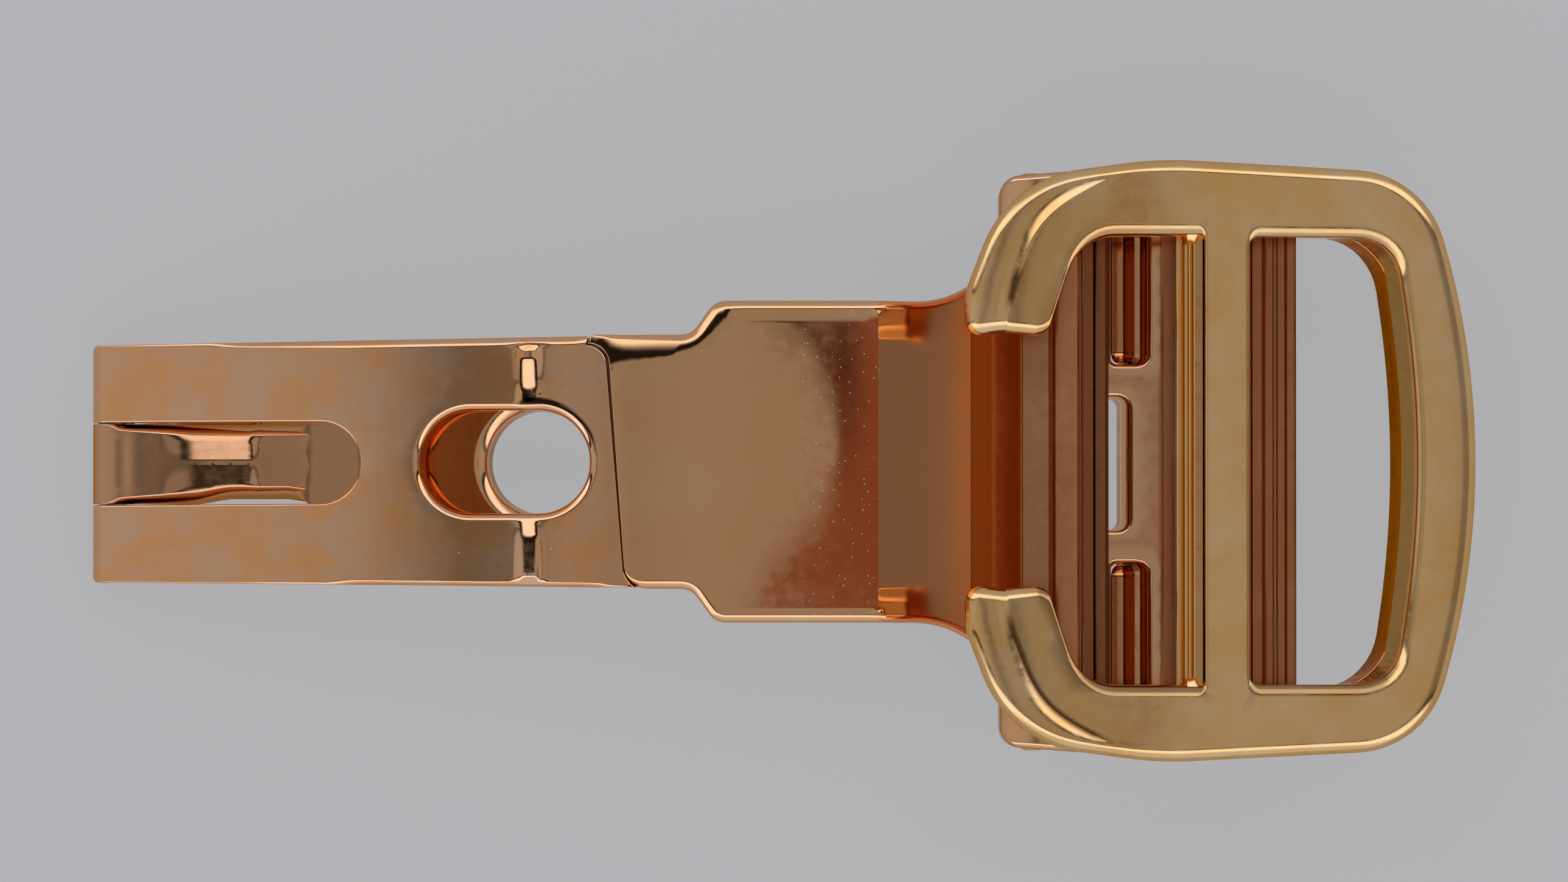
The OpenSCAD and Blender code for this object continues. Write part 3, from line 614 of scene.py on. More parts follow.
# darker copy of the rose gold, painted shade in the grooves of the front grip block; its zones
# repaint the first stripe greyer and the last much darker, painted light and shade on the stripes
GRIP = metal("rose_gold_grooved", (0.54, 0.225, 0.092), (0.59, 0.28, 0.13), rough=(0.16, 0.26),
             grain=ALONG_GROOVES,
             painted_shade_zones=[(7.9, 9.02, 9, (0.51, 0.23, 0.115)), (10.12, 11.2, 9, (0.31, 0.11, 0.045))])
# darker copy of the rose gold: painted shade on the rear grip bar beside the end plate
GRIP_REAR = metal("rose_gold_grooved_rear", (0.46, 0.18, 0.075), (0.51, 0.215, 0.10),
                  rough=(0.14, 0.24), grain=ALONG_GROOVES)
# darker copy of the rose gold: painted shade on the strap pins down in their windows
PIN = metal("rose_gold_pin", (0.62, 0.27, 0.12), (0.66, 0.32, 0.15), rough=(0.08, 0.14), haze=0.4)
# the last colour is painted shade in the arms' creases and, weaker, along the window edges and rims
YELLOW = metal("yellow_gold", (0.82, 0.46, 0.165), (0.81, 0.54, 0.27), rough=(0.13, 0.22), haze=1.0,
               wobble=0.2, dust=0.02, patch=480.0, edge_tint=(0.92, 0.66, 0.38),
               painted_shade=(0.15, 0.06, 0.022))
BEAD = metal("yellow_gold_bead", (0.80, 0.47, 0.17), (0.82, 0.52, 0.24), rough=(0.10, 0.16),
             haze=0.5)
STEEL = metal("ground_steel", (0.56, 0.56, 0.58), (0.62, 0.62, 0.63), rough=(0.2, 0.3), haze=0.4)
SPRING = metal("spring_steel", (0.50, 0.50, 0.52), (0.6, 0.6, 0.6), rough=(0.25, 0.35), haze=0.4)

# ---------------- front frame
RIM, WINDOW_EDGE = [0.42, 0.40], [0.58, 0.36]
WALL_R, WALL_HALF = 35.0, 5.4
WALL_TURN = math.asin(WALL_HALF / WALL_R)


def bow(r, side, reach, corner, middle, end):
    """Corners of a bow of radius r: its middle, and its end at side, where it turns back."""
    a = math.asin(side / r)
    cx = RIGHT - BOW_R
    return [[cx + r / math.cos(a), 0, r, *middle],
            [cx + r * math.cos(a) - 2.4 * math.sin(a), side + reach * math.cos(a), corner, *end]]


def far_wall(x, half, corner, edge):
    """Corners of the curved wall inside the bow, from its side to its middle at x."""
    c = math.cos(BOW_TILT)
    back = WALL_R - WALL_R * math.cos(WALL_TURN) + (half - WALL_HALF) * math.tan(WALL_TURN)
    return [[x - back * c, half, corner, *edge],
            [x - (WALL_R - WALL_R / math.cos(WALL_TURN)) * c, 0, WALL_R, *edge]]


def bow_window(depth):
    """Bow window's outline at a depth below the frame's top, its far wall square to the frame."""
    x = RIGHT - BOW_WALL - 0.2 - depth * math.sin(BOW_TILT)
    return Outline(both_sides([[BAR_X1, WINDOW_HALF, 0.35, 0.45, 0.2],
                               *far_wall(x, WINDOW_HALF, 1.5, WINDOW_EDGE)]), hole=True)


frame_out = Outline(both_sides([
    *bow(BOW_R, FRAME_W / 2 - BOW_IN, 2.4, 3.2, [0.5, 0.40], RIM),
    [FRAME_CX + 1.5, FRAME_W / 2, 12, *RIM],
    [FACET_X1 + 1.18, FRAME_W / 2 - 0.67, 4, 0.40, 0.42],
    [TIP_X - 0.08, 5.7, 1.5, 0.36, 0.42],
    [TIP_X - 0.14, 4.12, 0.55, 0.48, 0.36],
    [TIP_X + 1.28, 4.26, 0.35, 0.42, 0.34],
    [TIP_X + 2.6, 4.12, 0.6, 0.20, 0.16],
    [TIP_X + 3.7, WINDOW_HALF, 1.6, 0.46, 0.36],
    [BAR_X0, WINDOW_HALF, 0.15, 0.1, 0.06]]))

# the arms carry a rounded band along their outside, which runs out in the rim past the shoulders
CREASE = smooth([(7.42, 4.2), (7.5, 4.6), (7.65, 5.4), (7.9, 6.2), (8.4, 7.4), (9.0, 8.2),
                 (9.9, 8.85), (11.1, 9.38), (12.6, 9.60)])
CREASE_DIR = np.vstack([CREASE[1:] - CREASE[:-1], CREASE[-1:] - CREASE[-2:-1]])
BAND_W = np.interp(CREASE[:, 0], [7.4, 7.65, 8.4, 9.9, 11.1, 12.6],
                   [1.28, 1.3, 1.3, 0.95, 0.62, 0.43])
BAND_H = np.interp(CREASE[:, 0], [7.4, 8.4, 9.9, 11.1, 12.6], [0.16, 0.16, 0.10, 0.02, 0.0])


def frame_top(x, y):
    """Crown with the band, which rises at the crease and is fullest at half its width."""
    z = crown(x)
    if x > CREASE[-1][0]:
        return z
    d = np.array([x, abs(y)]) - CREASE
    k = int(np.argmin(d[:, 0] ** 2 + d[:, 1] ** 2))
    r, half = math.hypot(*d[k]), 0.5 * BAND_W[k]
    if CREASE_DIR[k][0] * d[k][1] > CREASE_DIR[k][1] * d[k][0]:
        s = (r - half) / half
        return z + BAND_H[k] * (0.6 - (1.0 if s < 0 else 0.4) * s * s)
    return z - 0.4 * BAND_H[k] * math.exp(-r / 0.5)


normals = np.stack([-CREASE_DIR[:, 1], CREASE_DIR[:, 0]], axis=1)
normals /= np.linalg.norm(normals, axis=1)[:, None]
band = [(CREASE + normals * off)[np.minimum(BAND_W - 0.36, 0.9) > off] * np.array([1, s])
        for off in (-0.16, -0.07, 0.0, 0.06, 0.13, 0.22, 0.34, 0.5, 0.68) for s in (1, -1)]
window = bow_window(0)
front = plate("front_frame_dress", YELLOW, [frame_out, window], frame_top,
              lambda x, y: crown(x, FRAME_R - FRAME_T),
              low=[frame_out, bow_window(FRAME_T).paired(window)], lines=band)
rims = np.array([p[:2] for o in (frame_out, window) for p in o.ring(0.0)
                 if 8.9 < p[0] < RIGHT - 2.4
                 and (WINDOW_HALF - 0.25 if p[0] > 11 else 4.4) < abs(p[1]) < WINDOW_HALF + 0.1])


def frame_painted_shade(x, y, z):
    """Painted shade along most of one arm's crease and the other's near the claw, and a weaker one
    along the window edges and rims, which dims their highlights.
    """
    rim_d = np.hypot(*(rims - (x, y)).T).min()
    if rim_d < 0.44 and not BAR_X0 - 0.02 < x < BAR_X1 + 0.02:
        return (0.22 if y > 0 else 0.55) * (1 - step01(rim_d, 0.3, 0.44))
    if z < crown(x) - 0.5:
        return 0.0
    d = np.hypot(*(CREASE - (x, abs(y))).T)
    k = int(np.argmin(d))
    ends = (5.1, 5.4, 6.1, 6.5) if y > 0 else (4.9, 5.5, 9.1, 9.4)
    return float(np.interp(CREASE[k][1], ends, (0, 1, 1, 0))) * max(0.0, 1 - (d[k] / 0.15) ** 2)


# painted shade in the arms' creases and, weaker, along the window edges and rims
painted_shade(front, frame_painted_shade)
CLAW = [(13.42, 7.62, 0.08), (13.5, 7.28, 0.06), (13.78, 7.2, 0.08), (14.1, 7.78, 0.1),
        (13.84, 8.02, 0.1), (13.42, 8.0, 0.05)]
lugs = []
for k, s in (("b", -1), ("a", 1)):
    y0, y1 = sorted((s * 7.75, s * 8.5))
    lugs.append(barrel("frame_lug_" + k, YELLOW, PIVOT_X, PIVOT_Z,
                       [(y0, 0.75), (y0 + 0.06, 0.84), (y1 - 0.06, 0.84), (y1, 0.75)]))
    claw = Outline([[x, s * y, r, 0.12, 0.16] for x, y, r in CLAW], res=0.06)
    lugs.append(plate("frame_claw_" + k, YELLOW, [claw],
                      lambda x, y: crown(x) - 0.02 - 0.30 * clip(8.02 - abs(y)),
                      lambda x, y: crown(x) - 0.75, grid=0.15, under_w=0.03))
dress([front] + lugs, "front_frame", "clamp")

# ---------------- upper blade
EDGE, SLIT, THIN = [0.30, 0.26], [0.07, 0.06], [0.04, 0.035]
BLADE_HALF, HINGE_HALF, PLATE_HALF = BLADE_W1 / 2, BLADE_W0 / 2, PLATE_W / 2
LAP_END, LAP_R = PLATE_X0 + 4.2, ARCH_R - 0.5
SEAM_X = PLATE_X0 - 0.09
ROLLED = [LEFT + d for d in (0.51, 0.38, 0.26, 0.16, 0.09, 0.05)]  # the hinge end curves down here
BEND_X, BEND_HALF = -8.44, 0.33
FADE_X0, FADE_X1 = -18.5, -14.5  # the rounded edge runs out between these


def blade_half(x):
    """Half of the upper blade's width at x."""
    return HINGE_HALF + (BLADE_HALF - HINGE_HALF) * (x - HINGE_X) / (LAP_END - HINGE_X)


def hinge_end(x):
    """Arch that turns down round the knuckle at the hinge end."""
    if x < HINGE_X - KNUCKLE_R * (CROWN_X - HINGE_X) / (ARCH_R - KNUCKLE_R):
        return HINGE_Z + math.sqrt(max(KNUCKLE_R ** 2 - (x - HINGE_X) ** 2, 0.0))
    return arch(x)


def blade_top(x, y):
    """Arch with two small bends beside the oblong hole."""
    if y > 0:
        rise = np.interp(y, [1.75, 2.45, 3.5, 3.75, 4.0], [0.125, 0.045, -0.13, -0.13, 0.0])
    else:
        rise = np.interp(y, [-4.05, -3.85, -2.5, -1.95, -1.75], [0.0, 0.205, 0.05, -0.045, -0.05])
    return hinge_end(x) + math.exp(-((x - BEND_X) / BEND_HALF) ** 4) * rise


def rows_at(xs, half, step):
    """Rows of points across the strap, one at each x."""
    return [[(x, y) for y in np.arange(-half, half + step / 4, step)] for x in xs]


def hole(x, length, width, tight, edge, depth=0.0):
    """Hole with round ends, whose walls stand square to the arch."""
    x += depth * (CROWN_X - x) / ARCH_R
    a, b, r = length / 2, width / 2, width / 2 - tight
    return Outline([[x - a, b, r, *edge], [x + a, b, r, *edge], [x + a, -b, r, *edge],
                    [x - a, -b, r, *edge]], res=0.15, hole=True)


corner_x, corner_y = PLATE_X0 + 1.1, 0.8 - BLADE_HALF
slot_y, slot_tip, slot_r = SLOT_W / 2 + 0.02, LEFT + SLOT_LEN, SLOT_W / 2 - 0.01
blade_out = Outline([
    [SEAM_X - 0.9, blade_half(SEAM_X), 0, *EDGE],
    [FADE_X1, blade_half(FADE_X1), 0, *EDGE], [FADE_X0, blade_half(FADE_X0), 0, *THIN],
    *[[x, HINGE_HALF, 0, *THIN] for x in ROLLED[:3]],
    [LEFT, HINGE_HALF, 0.22, *THIN],
    [LEFT, slot_y, 0.04, *SLIT],
    *[[x, slot_y, 0, *SLIT] for x in ROLLED[:4][::-1]],
    [slot_tip, SLOT_W / 2, slot_r, *SLIT], [slot_tip, -SLOT_W / 2, slot_r, *SLIT],
    *[[x, -slot_y, 0, *SLIT] for x in ROLLED[:4]],
    [LEFT, -slot_y, 0.04, *THIN],
    [LEFT, -HINGE_HALF, 0.22, *THIN],
    *[[x, -HINGE_HALF, 0, *THIN] for x in ROLLED[:3][::-1]],
    [FADE_X0, -blade_half(FADE_X0), 0, *THIN], [FADE_X1, -blade_half(FADE_X1), 0, *EDGE],
    [SEAM_X - 0.5, -blade_half(SEAM_X), 0, *THIN],
    [corner_x - 0.4, -blade_half(SEAM_X + 0.7), 0, *THIN],
    *[[corner_x - 0.89 * math.cos(a), corner_y - 0.89 * math.sin(a), 0, *THIN]
      for a in np.radians([56, 46, 36, 26, 16, 6])],
    [SEAM_X - 0.3, BLADE_HALF - 0.35, 0.68, *THIN],
    [SEAM_X - 0.9, BLADE_HALF - 0.35, 0, *THIN]], res=0.4)
OBLONG = (-9.25, 5.7, 3.44, 0.01, [0.27, 0.24])
end_x, rim_r = OBLONG[0] + (OBLONG[1] - OBLONG[2]) / 2, OBLONG[2] / 2 + 0.26


def by_rim(off):
    """Points beside the bead round the hole's upper right."""
    r = rim_r + off
    return [(x, r) for x in np.arange(-8.7, end_x - 0.04, 0.08)] + [
        (end_x + r * math.sin(a), r * math.cos(a)) for a in np.radians(np.arange(0, 82, 3))]


def blade_painted_shade(x, y, z):
    """Painted shade: a dark crescent along the hole's upper right, widest at the bend."""
    if y < 0.2 or x < -8.8 or z < arch(x) - 0.45:
        return 0.0
    off = (math.hypot(x - end_x, y) if x > end_x else y) - rim_r
    turned = math.degrees(math.atan2(x - end_x, y))
    wide = float(np.interp(turned, [-20, -12, 0, 25, 60, 78], [0, 0.22, 0.2, 0.13, 0.08, 0]))
    return clip((wide - off) / 0.05) * clip((off + 0.07) / 0.05)


fine = [(x, s * y) for s in (-1, 1) for x in np.arange(-9.1, -7.7, 0.07)
        for y in np.arange(1.8, 4.1, 0.09)]
blade = plate("upper_blade_dress", ROSE_HAZE_AND_SHADE, [blade_out, hole(*OBLONG)], blade_top,
              lambda x, y: arch(x, ARCH_R - BLADE_T), low=[blade_out, hole(*OBLONG, BLADE_T)],
              extra=fine, lines=[*rows_at(ROLLED, 4.0, 0.2),
                                 *map(by_rim, (0.05, 0.1, 0.15, 0.2, 0.26))])
# painted shade in a crescent by the oblong hole
painted_shade(blade, blade_painted_shade)
lap_half = [[x, y, 0, 0.02, 0.02] for x, y in (
    (LAP_END, BLADE_HALF - 0.02), (PLATE_X0 - 1.4, BLADE_HALF - 0.1), (PLATE_X0 - 1.4, 3.3),
    (PLATE_X0 - 0.75, 2.9))]
lap = plate("upper_blade_lap", ROSE_LAP, [Outline(both_sides(lap_half), res=0.5)],
            lambda x, y: arch(x, LAP_R) - 0.01, lambda x, y: arch(x, ARCH_R - BLADE_T) - 0.006,
            profile=CHAMFER, grid=0.6)
# the lap's whole top is painted nearly black: painted shade in the seam
painted_shade(lap, lambda x, y, z: float(z > arch(x, LAP_R) - 0.1))
knuckles = [barrel("upper_knuckle_" + k, ROSE_HAZE_AND_SHADE, HINGE_X, HINGE_Z,
                   [(y0, 0.6), (y0 + 0.1, 0.7), (y0 + 0.25, 0.76),
                    (y1 - 0.25, 0.76), (y1 - 0.1, 0.7), (y1, 0.6)])
            for k, y0, y1 in (("a", SLOT_W / 2, HINGE_HALF), ("b", -HINGE_HALF, -SLOT_W / 2))]
dress([blade, lap] + knuckles, "upper_blade", "upper")

# ---------------- head plate
ROLL = smooth(from_point(PLATE_X0, BLADE_HALF, [
    (-0.75, -0.55), (-0.3, -1.1), (0.9, -0.95), (2.5, -0.55), (3.2, -0.05), (3.9, 0.6)]), 0.2)


def plate_top(x, y):
    """Arch whose side is rolled down beside the lap, then the facet."""
    past = max(0.0, y - np.interp(x, ROLL[:, 0], ROLL[:, 1]))
    roll = 0.114 * past * (1 - step01(x, PLATE_X0 + 3.6, PLATE_X0 + 4.0))
    return arch_then_fall(x, ARCH_R, FACET_X0, FACET_X1, FACET_Z) - roll


def plate_low(x, y):
    """Blade's underside, then the facet's down to the floor, and thinner over the lap."""
    if x < LAP_END - 0.9 and abs(y) < BLADE_HALF - 0.35:
        return arch(x, LAP_R)
    return arch_then_fall(x, ARCH_R - BLADE_T, FACET_X0 - 0.4, FACET_X1 - 0.35, FLOOR_Z1)


shoulder = [[PLATE_X0 + 2.5, BLADE_HALF, 0.7, *EDGE], [PLATE_X0 + 3.3, PLATE_HALF, 0.7, *EDGE],
            [FACET_X0 + 2.1, PLATE_HALF, 3.2, *EDGE]]
head_out = Outline([
    [PLATE_X0 - 0.9, BLADE_HALF, 0, *THIN],
    [PLATE_X0 - 0.9, BLADE_HALF - 0.3, 0, *THIN],
    [PLATE_X0 - 0.3, BLADE_HALF - 0.3, 0.7, *THIN],
    [PLATE_X0 + 0.3, -BLADE_HALF, 0.8, *EDGE],
    *[[x, -y, *rest] for x, y, *rest in shoulder],
    [FACET_X1, -6.0, 0, *THIN],
    [FACET_X1, 6.0, 0, *EDGE],
    *shoulder[::-1],
    [PLATE_X0 - 0.2, BLADE_HALF, 0, *THIN]], res=0.35)
head = plate("head_plate_dress", ROSE_PLATE, [head_out], plate_top, plate_low, sharp=28,
             lines=[ROLL, *rows_at([FACET_X0], 5.2, 0.2)])
dress([head], "head_plate", "upper")

# ---------------- lower blade
TONGUE_HALF = SLOT_W / 2 - 0.025
LOWER_R = ARCH_R - BLADE_T - BLADE_GAP
TONGUE_X1 = LEFT + 7.25
DROP_X0, DROP_X1 = FACET_X0 - 1.3, FACET_X1 - 0.5
SOFT, WALL_A, WALL_B = [0.16, 0.14], [0.42, 0.8], [0.40, 0.75]


def sink(x):
    """Depth by which the lower blade goes on falling from the tongue, up to the end of the slot."""
    return 0.2 * clip(x - TONGUE_X1, 0, 1.95) * (1 - step01(x, -14.0, -12.4))


def tongue_top(x, y):
    """Arch at the hinge, dished behind it, with a small raised land that falls to both sides."""
    g = clip((x - LEFT - 0.75) / (TONGUE_X1 - LEFT - 0.75))
    fall = (g * g / 0.24 if g < 0.12 else g - 0.06) / 0.94
    z = hinge_end(x) - 0.02 - (arch(TONGUE_X1) - arch(TONGUE_X1, LOWER_R) - 0.02) * fall
    z -= 0.075 * step01(x, LEFT + 0.5, LEFT + 1.15) * (1 - step01(x, LEFT + 1.3, LEFT + 4.0))
    z -= sink(x) + 0.06 * max(x - TONGUE_X1 + 0.1, 0)
    land = step01(x, LEFT + 2.3, LEFT + 3.6) * (1 - step01(x, LEFT + 5.35, LEFT + 5.62))
    return z - land * (0.15 * (y - 0.05) if y > 0.05 else 0.115 * (0.05 - y))


tongue_c = [
    [TONGUE_X1 + 0.8, TONGUE_HALF, 0, *WALL_A], [LEFT + 3.4, TONGUE_HALF - 0.01, 2.5, *WALL_A],
    [LEFT + 0.9, TONGUE_HALF, 0, *THIN], *[[x, TONGUE_HALF, 0, *THIN] for x in ROLLED],
    [LEFT, TONGUE_HALF - 0.02, 0.03, *THIN],
    [LEFT, 0.02 - TONGUE_HALF, 0.03, *THIN], *[[x, -TONGUE_HALF, 0, *THIN] for x in ROLLED[::-1]],
    [LEFT + 0.9, -TONGUE_HALF, 0, *WALL_B], [LEFT + 3.6, 0.03 - TONGUE_HALF, 2.5, *WALL_B],
    [LEFT + 4.6, -1.13, 2.5, *WALL_B], [TONGUE_X1 - 0.6, -1.13, 0.9, *WALL_B],
    [TONGUE_X1 + 0.8, -TONGUE_HALF, 0, *THIN]]
tongue_out = Outline(tongue_c, res=0.2)
tongue_low = Outline([[x, y + (0.1 if y > 0 else -0.05) * step01(x, LEFT + 1.2, LEFT + 2.6), *rest]
                      for x, y, *rest in tongue_c], res=0.2).paired(tongue_out)
land_pts = [(x, y) for x in np.arange(LEFT + 0.7, LEFT + 5.9, 0.12)
            for y in np.arange(-0.75, 0.85, 0.1)]
tongue = plate("lower_tongue", ROSE_TONGUE, [tongue_out], tongue_top,
               lambda x, y: max(min(tongue_top(x, 0) - 0.9, HINGE_Z - 0.3 + 0.1 * (x - LEFT)), 0.1),
               low=[tongue_low], grid=0.3, under_w=0.03, extra=land_pts,
               lines=rows_at(ROLLED, 1.3, 0.13)
               + [[(x, 0.05) for x in np.arange(LEFT + 2.0, LEFT + 6.0, 0.12)]]
               + rows_at((TONGUE_X1 - 0.1, TONGUE_X1 + 0.1), 1.2, 0.12))
wide_x = TONGUE_X1 + 0.45
lower_out = Outline(both_sides([
    [TONGUE_X1 - 0.9, 0.85, 0, *THIN], [TONGUE_X1 - 0.5, 0.85, 0.5, *THIN],
    [wide_x + 0.25, 1.9, 0.5, *SOFT], [wide_x, 4.0, 1, *SOFT], [END_X0 - 0.6, 4.0, 0, *SOFT],
    [END_X0, 3.0, 0, *SOFT], [END_X0 + 0.08, 3.0, 0, *THIN]]), res=0.4)
ROUND_HOLE = (-8.1, 3.44, 3.44, 0.005, [0.52, 0.34])
lower = plate("lower_blade_dress", ROSE_LOW, [lower_out, hole(*ROUND_HOLE)],
              lambda x, y: arch_then_fall(x, LOWER_R, DROP_X0, DROP_X1, END_TOP) - sink(x),
              lambda x, y: arch_then_fall(x, LOWER_R - LOWER_T, DROP_X0 - 0.3, DROP_X1 - 0.25,
                                          END_TOP - LOWER_T),
              low=[lower_out, hole(*ROUND_HOLE, LOWER_T)], lines=rows_at([DROP_X0], 4, 0.25))
low_knuckle = barrel("lower_knuckle", ROSE, HINGE_X, HINGE_Z,
                     [(-TONGUE_HALF, 0.62), (-TONGUE_HALF + 0.1, 0.73), (TONGUE_HALF - 0.1, 0.73),
                      (TONGUE_HALF, 0.62)])
dress([tongue, lower, low_knuckle], "lower_blade", "lower")

# ---------------- strap end plate
STEEP, LEANING = [0.16, 0.16], [0.45, 0.95]


def windows(mid, right, near):
    """Middle and side windows, whose right walls are widely rounded and lean in below."""
    mid_x, side_x, left = FRAME_CX + 0.36 - mid, FRAME_CX + 1.0 - right, FRAME_CX + 0.02
    mid_y, side_y = 2.24, 3.36 + near
    corners = [[[FRAME_CX - 2.2, mid_y, 0.3, *STEEP], [mid_x, mid_y - near, 0.3, *LEANING],
                [mid_x, near - mid_y, 0.3, *STEEP], [FRAME_CX - 2.2, -mid_y, 0.3, *STEEP]]]
    corners += [[[left, s * 8.3, 0.2, *STEEP], [left, s * side_y, 0.2, *STEEP],
                 [side_x, s * side_y, 0.3, *LEANING], [side_x, s * 8.3, 0.3, *STEEP]]
                for s in (1, -1)]
    return [Outline(c, res=0.12, hole=True) for c in corners]


end_out = Outline(both_sides([[x, 9.1, 1.1, 0.2, 0.14] for x in (END_X0, END_X0 + 6.6)]), res=0.35)
wins = windows(0, 0, 0)
end_plate = plate("strap_end_plate_dress", ROSE, [end_out, *wins], level(END_TOP), level(0),
                  low=[end_out, *(w.paired(up) for w, up in zip(windows(0.1, 0.52, 0.05), wins))])
dress([end_plate], "strap_end_plate", "lower")
PIN_SHAPE = [(-0.41, 0.0), (-0.41, 0.26), (-0.37, 0.325), (-0.06, 0.36), (0.0, 0.355),
             (0.06, 0.30), (0.40, -0.06), (0.40, -0.2), (0.28, -0.32), (0.0, -0.39),
             (-0.26, -0.31), (-0.38, -0.15)]
PIN_ENDS = [(3.43, 0.3), (3.46, 0.5), (3.52, 0.72), (3.62, 0.9), (3.76, 0.985), (3.9, 1), (9.02, 1),
            (9.06, 0.9)]  # along Y, the share of the pin's full section
for k, s in (("a", 1), ("b", -1)):
    rings = [[(FRAME_CX + 0.45 + x * (0.4 + 0.6 * f), s * y, 0.925 + z * f) for x, z in PIN_SHAPE]
             for y, f in PIN_ENDS]
    dress([capped("strap_pin_dress_" + k, PIN, rings, 35)], "strap_pin_" + k, "lower")

# ---------------- base ring
RAIL_IN, RAIL_OUT = 7.6, FRAME_W / 2 - 0.35
EAR_R = 0.95
RING_TOP, RING_LOW = FRAME_R - FRAME_T - 0.03, FRAME_R - FRAME_T - 1.5
INNER = [0.06, 0.05]


def ring_top(x, y):
    """Ears round the pivot, then the rails and the bow just under the front frame."""
    if x < PIVOT_X:
        return PIVOT_Z + math.sqrt(max((EAR_R + 0.20) ** 2 - (x - PIVOT_X) ** 2, 0.0)) - 0.17
    return crown(x, RING_TOP)


def ring_low(x, y):
    """Floor's underside, then a slope up to the bow's."""
    rise = max(x - REAR_X1 - 0.3, 0.0) * 2.7 / 2.3
    return min(FLOOR_Z0 + rise, crown(x, RING_LOW)) if rise else FLOOR_Z0


def ring_outline(depth):
    """Ring's outline, its wall inside the bow square to the frame at a depth below the top."""
    x = RIGHT - BOW_WALL - 0.12 - (FRAME_T + 0.75 * depth) * math.sin(BOW_TILT)
    ear_x = PIVOT_X - EAR_R - 0.15
    return Outline(both_sides([
        *bow(BOW_R - 0.25, FRAME_W / 2 - BOW_IN - 0.05, 2.3, 3.0, [0.15, 0.1], [0.15, 0.1]),
        [FRAME_CX + 1.5, RAIL_OUT + 0.1, 12, 0.2, 0.2], [PIVOT_X + 1.5, RAIL_OUT, 6, 0.2, 0.2],
        [ear_x, RAIL_OUT - 0.2, 0.7, 0.1, 0.06], [ear_x, RAIL_IN, 0.1, *INNER],
        [REAR_X1 + 0.7, RAIL_IN, 0, *INNER], *far_wall(x, 7.48, 2.2, INNER)]), res=0.35)


ring_out = ring_outline(0.0)
ring = plate("base_ring_dress", ROSE_RING, [ring_out], ring_top, ring_low,
             low=[ring_outline(1.45).paired(ring_out)], grid=0.6, under_w=0.08)

# the floor, with the recess for the catch leaf under its middle; the floor, its underside and the
# fall take the darker rose gold of painted shade
LEAF_TOP, LEAF_X, LEAF_Y = FLOOR_Z0 + 0.21, FRAME_CX - 2.4, 1.7
floor_x0, floor_x1, floor_y = FACET_X1 - 0.1, FRAME_CX - 0.1, RAIL_IN + 0.6
floor_side = [[floor_x0, 5.9, 0, *THIN], [PIVOT_X - EAR_R + 0.05, floor_y, 0.3, *THIN],
              [floor_x1, floor_y, 0, *THIN]]
recess = [[floor_x1, LEAF_Y, 0, *THIN], [LEAF_X, LEAF_Y, 0.2, *THIN]]
floor_out, under_out = (Outline(both_sides(c), res=0.5) for c in (floor_side, floor_side + recess))
ring_floor = plate("base_ring_floor", ROSE_SHADED, [floor_out], level(FLOOR_Z1), level(LEAF_TOP),
                   profile=CHAMFER, grid=0.8)
ring_under = plate("base_ring_under", ROSE_SHADED, [under_out], level(LEAF_TOP + 0.02),
                   level(FLOOR_Z0), profile=CHAMFER, grid=0.8)
fall = across("base_ring_fall", ROSE_SHADED, [
    (floor_x0, FLOOR_Z1 - 0.1), (floor_x0, FACET_Z - 0.03), (FACET_X1, FACET_Z - 0.05),
    (FACET_X1 + 1.62, FLOOR_Z1 + 0.02), (FACET_X1 + 1.67, FLOOR_Z1 + 0.01),
    (FACET_X1 + 1.67, FLOOR_Z1 - 0.1)], 5.95, cuts=24)
dress([ring, ring_floor, ring_under, fall], "base_ring", "upper")
FRAME_PIN = [(7.76, 0.34), (7.8, 0.4), (9.52, 0.4), (9.6, 0.36), (9.64, 0.25)]
for k, s in (("a", 1), ("b", -1)):
    pin = barrel("frame_pin_dress_" + k, ROSE, PIVOT_X, PIVOT_Z,
                 [(s * y, r) for y, r in FRAME_PIN][::s])
    dress([pin], "frame_pin_" + k, "upper")


# ---------------- grips and clamp bar
def groove(x, z, w, d):
    """Profile of a groove of width w and depth d in a face at height z."""
    return from_point(x, z, [(-w / 2, 0), (-w / 5, -d), (w / 5, -d), (w / 2, 0)])


GRIP_Z = 3.65
bx0, bx1 = FRAME_CX - 3.0, FRAME_CX - 0.1
block = [(bx0, FLOOR_Z1)] + from_point(bx0, GRIP_Z, [
    (0.0, -0.08), (0.02, -0.02), (0.07, -0.01), (0.88, -0.02), (0.94, -0.10), (1.00, -0.03),
    (1.06, -0.13), (1.12, -0.02), (1.20, 0.0), (1.36, -0.01), (1.70, -0.02), (1.84, -0.04),
    (1.91, -0.10), (1.93, -0.40), (1.99, -0.40), (2.01, -0.10), (2.06, -0.06), (2.38, -0.08),
    (2.42, -0.18), (2.46, -0.09), (2.54, -0.07), (2.78, -0.10), (2.87, -0.16), (2.90, -0.24)])
grip_f = across("front_grip_dress", GRIP, block + [(bx1, FLOOR_Z1)], RAIL_IN)
dress([grip_f], "front_grip_block", "upper")
gx0 = FRAME_CX + 1.68
rear = [(gx0, FLOOR_Z0)] + from_point(gx0, GRIP_Z, [(0, -0.06), (0.06, 0)])
for k in range(4):
    rear += groove(gx0 + 0.55 + 0.8 * k, GRIP_Z, 0.2, 0.12)
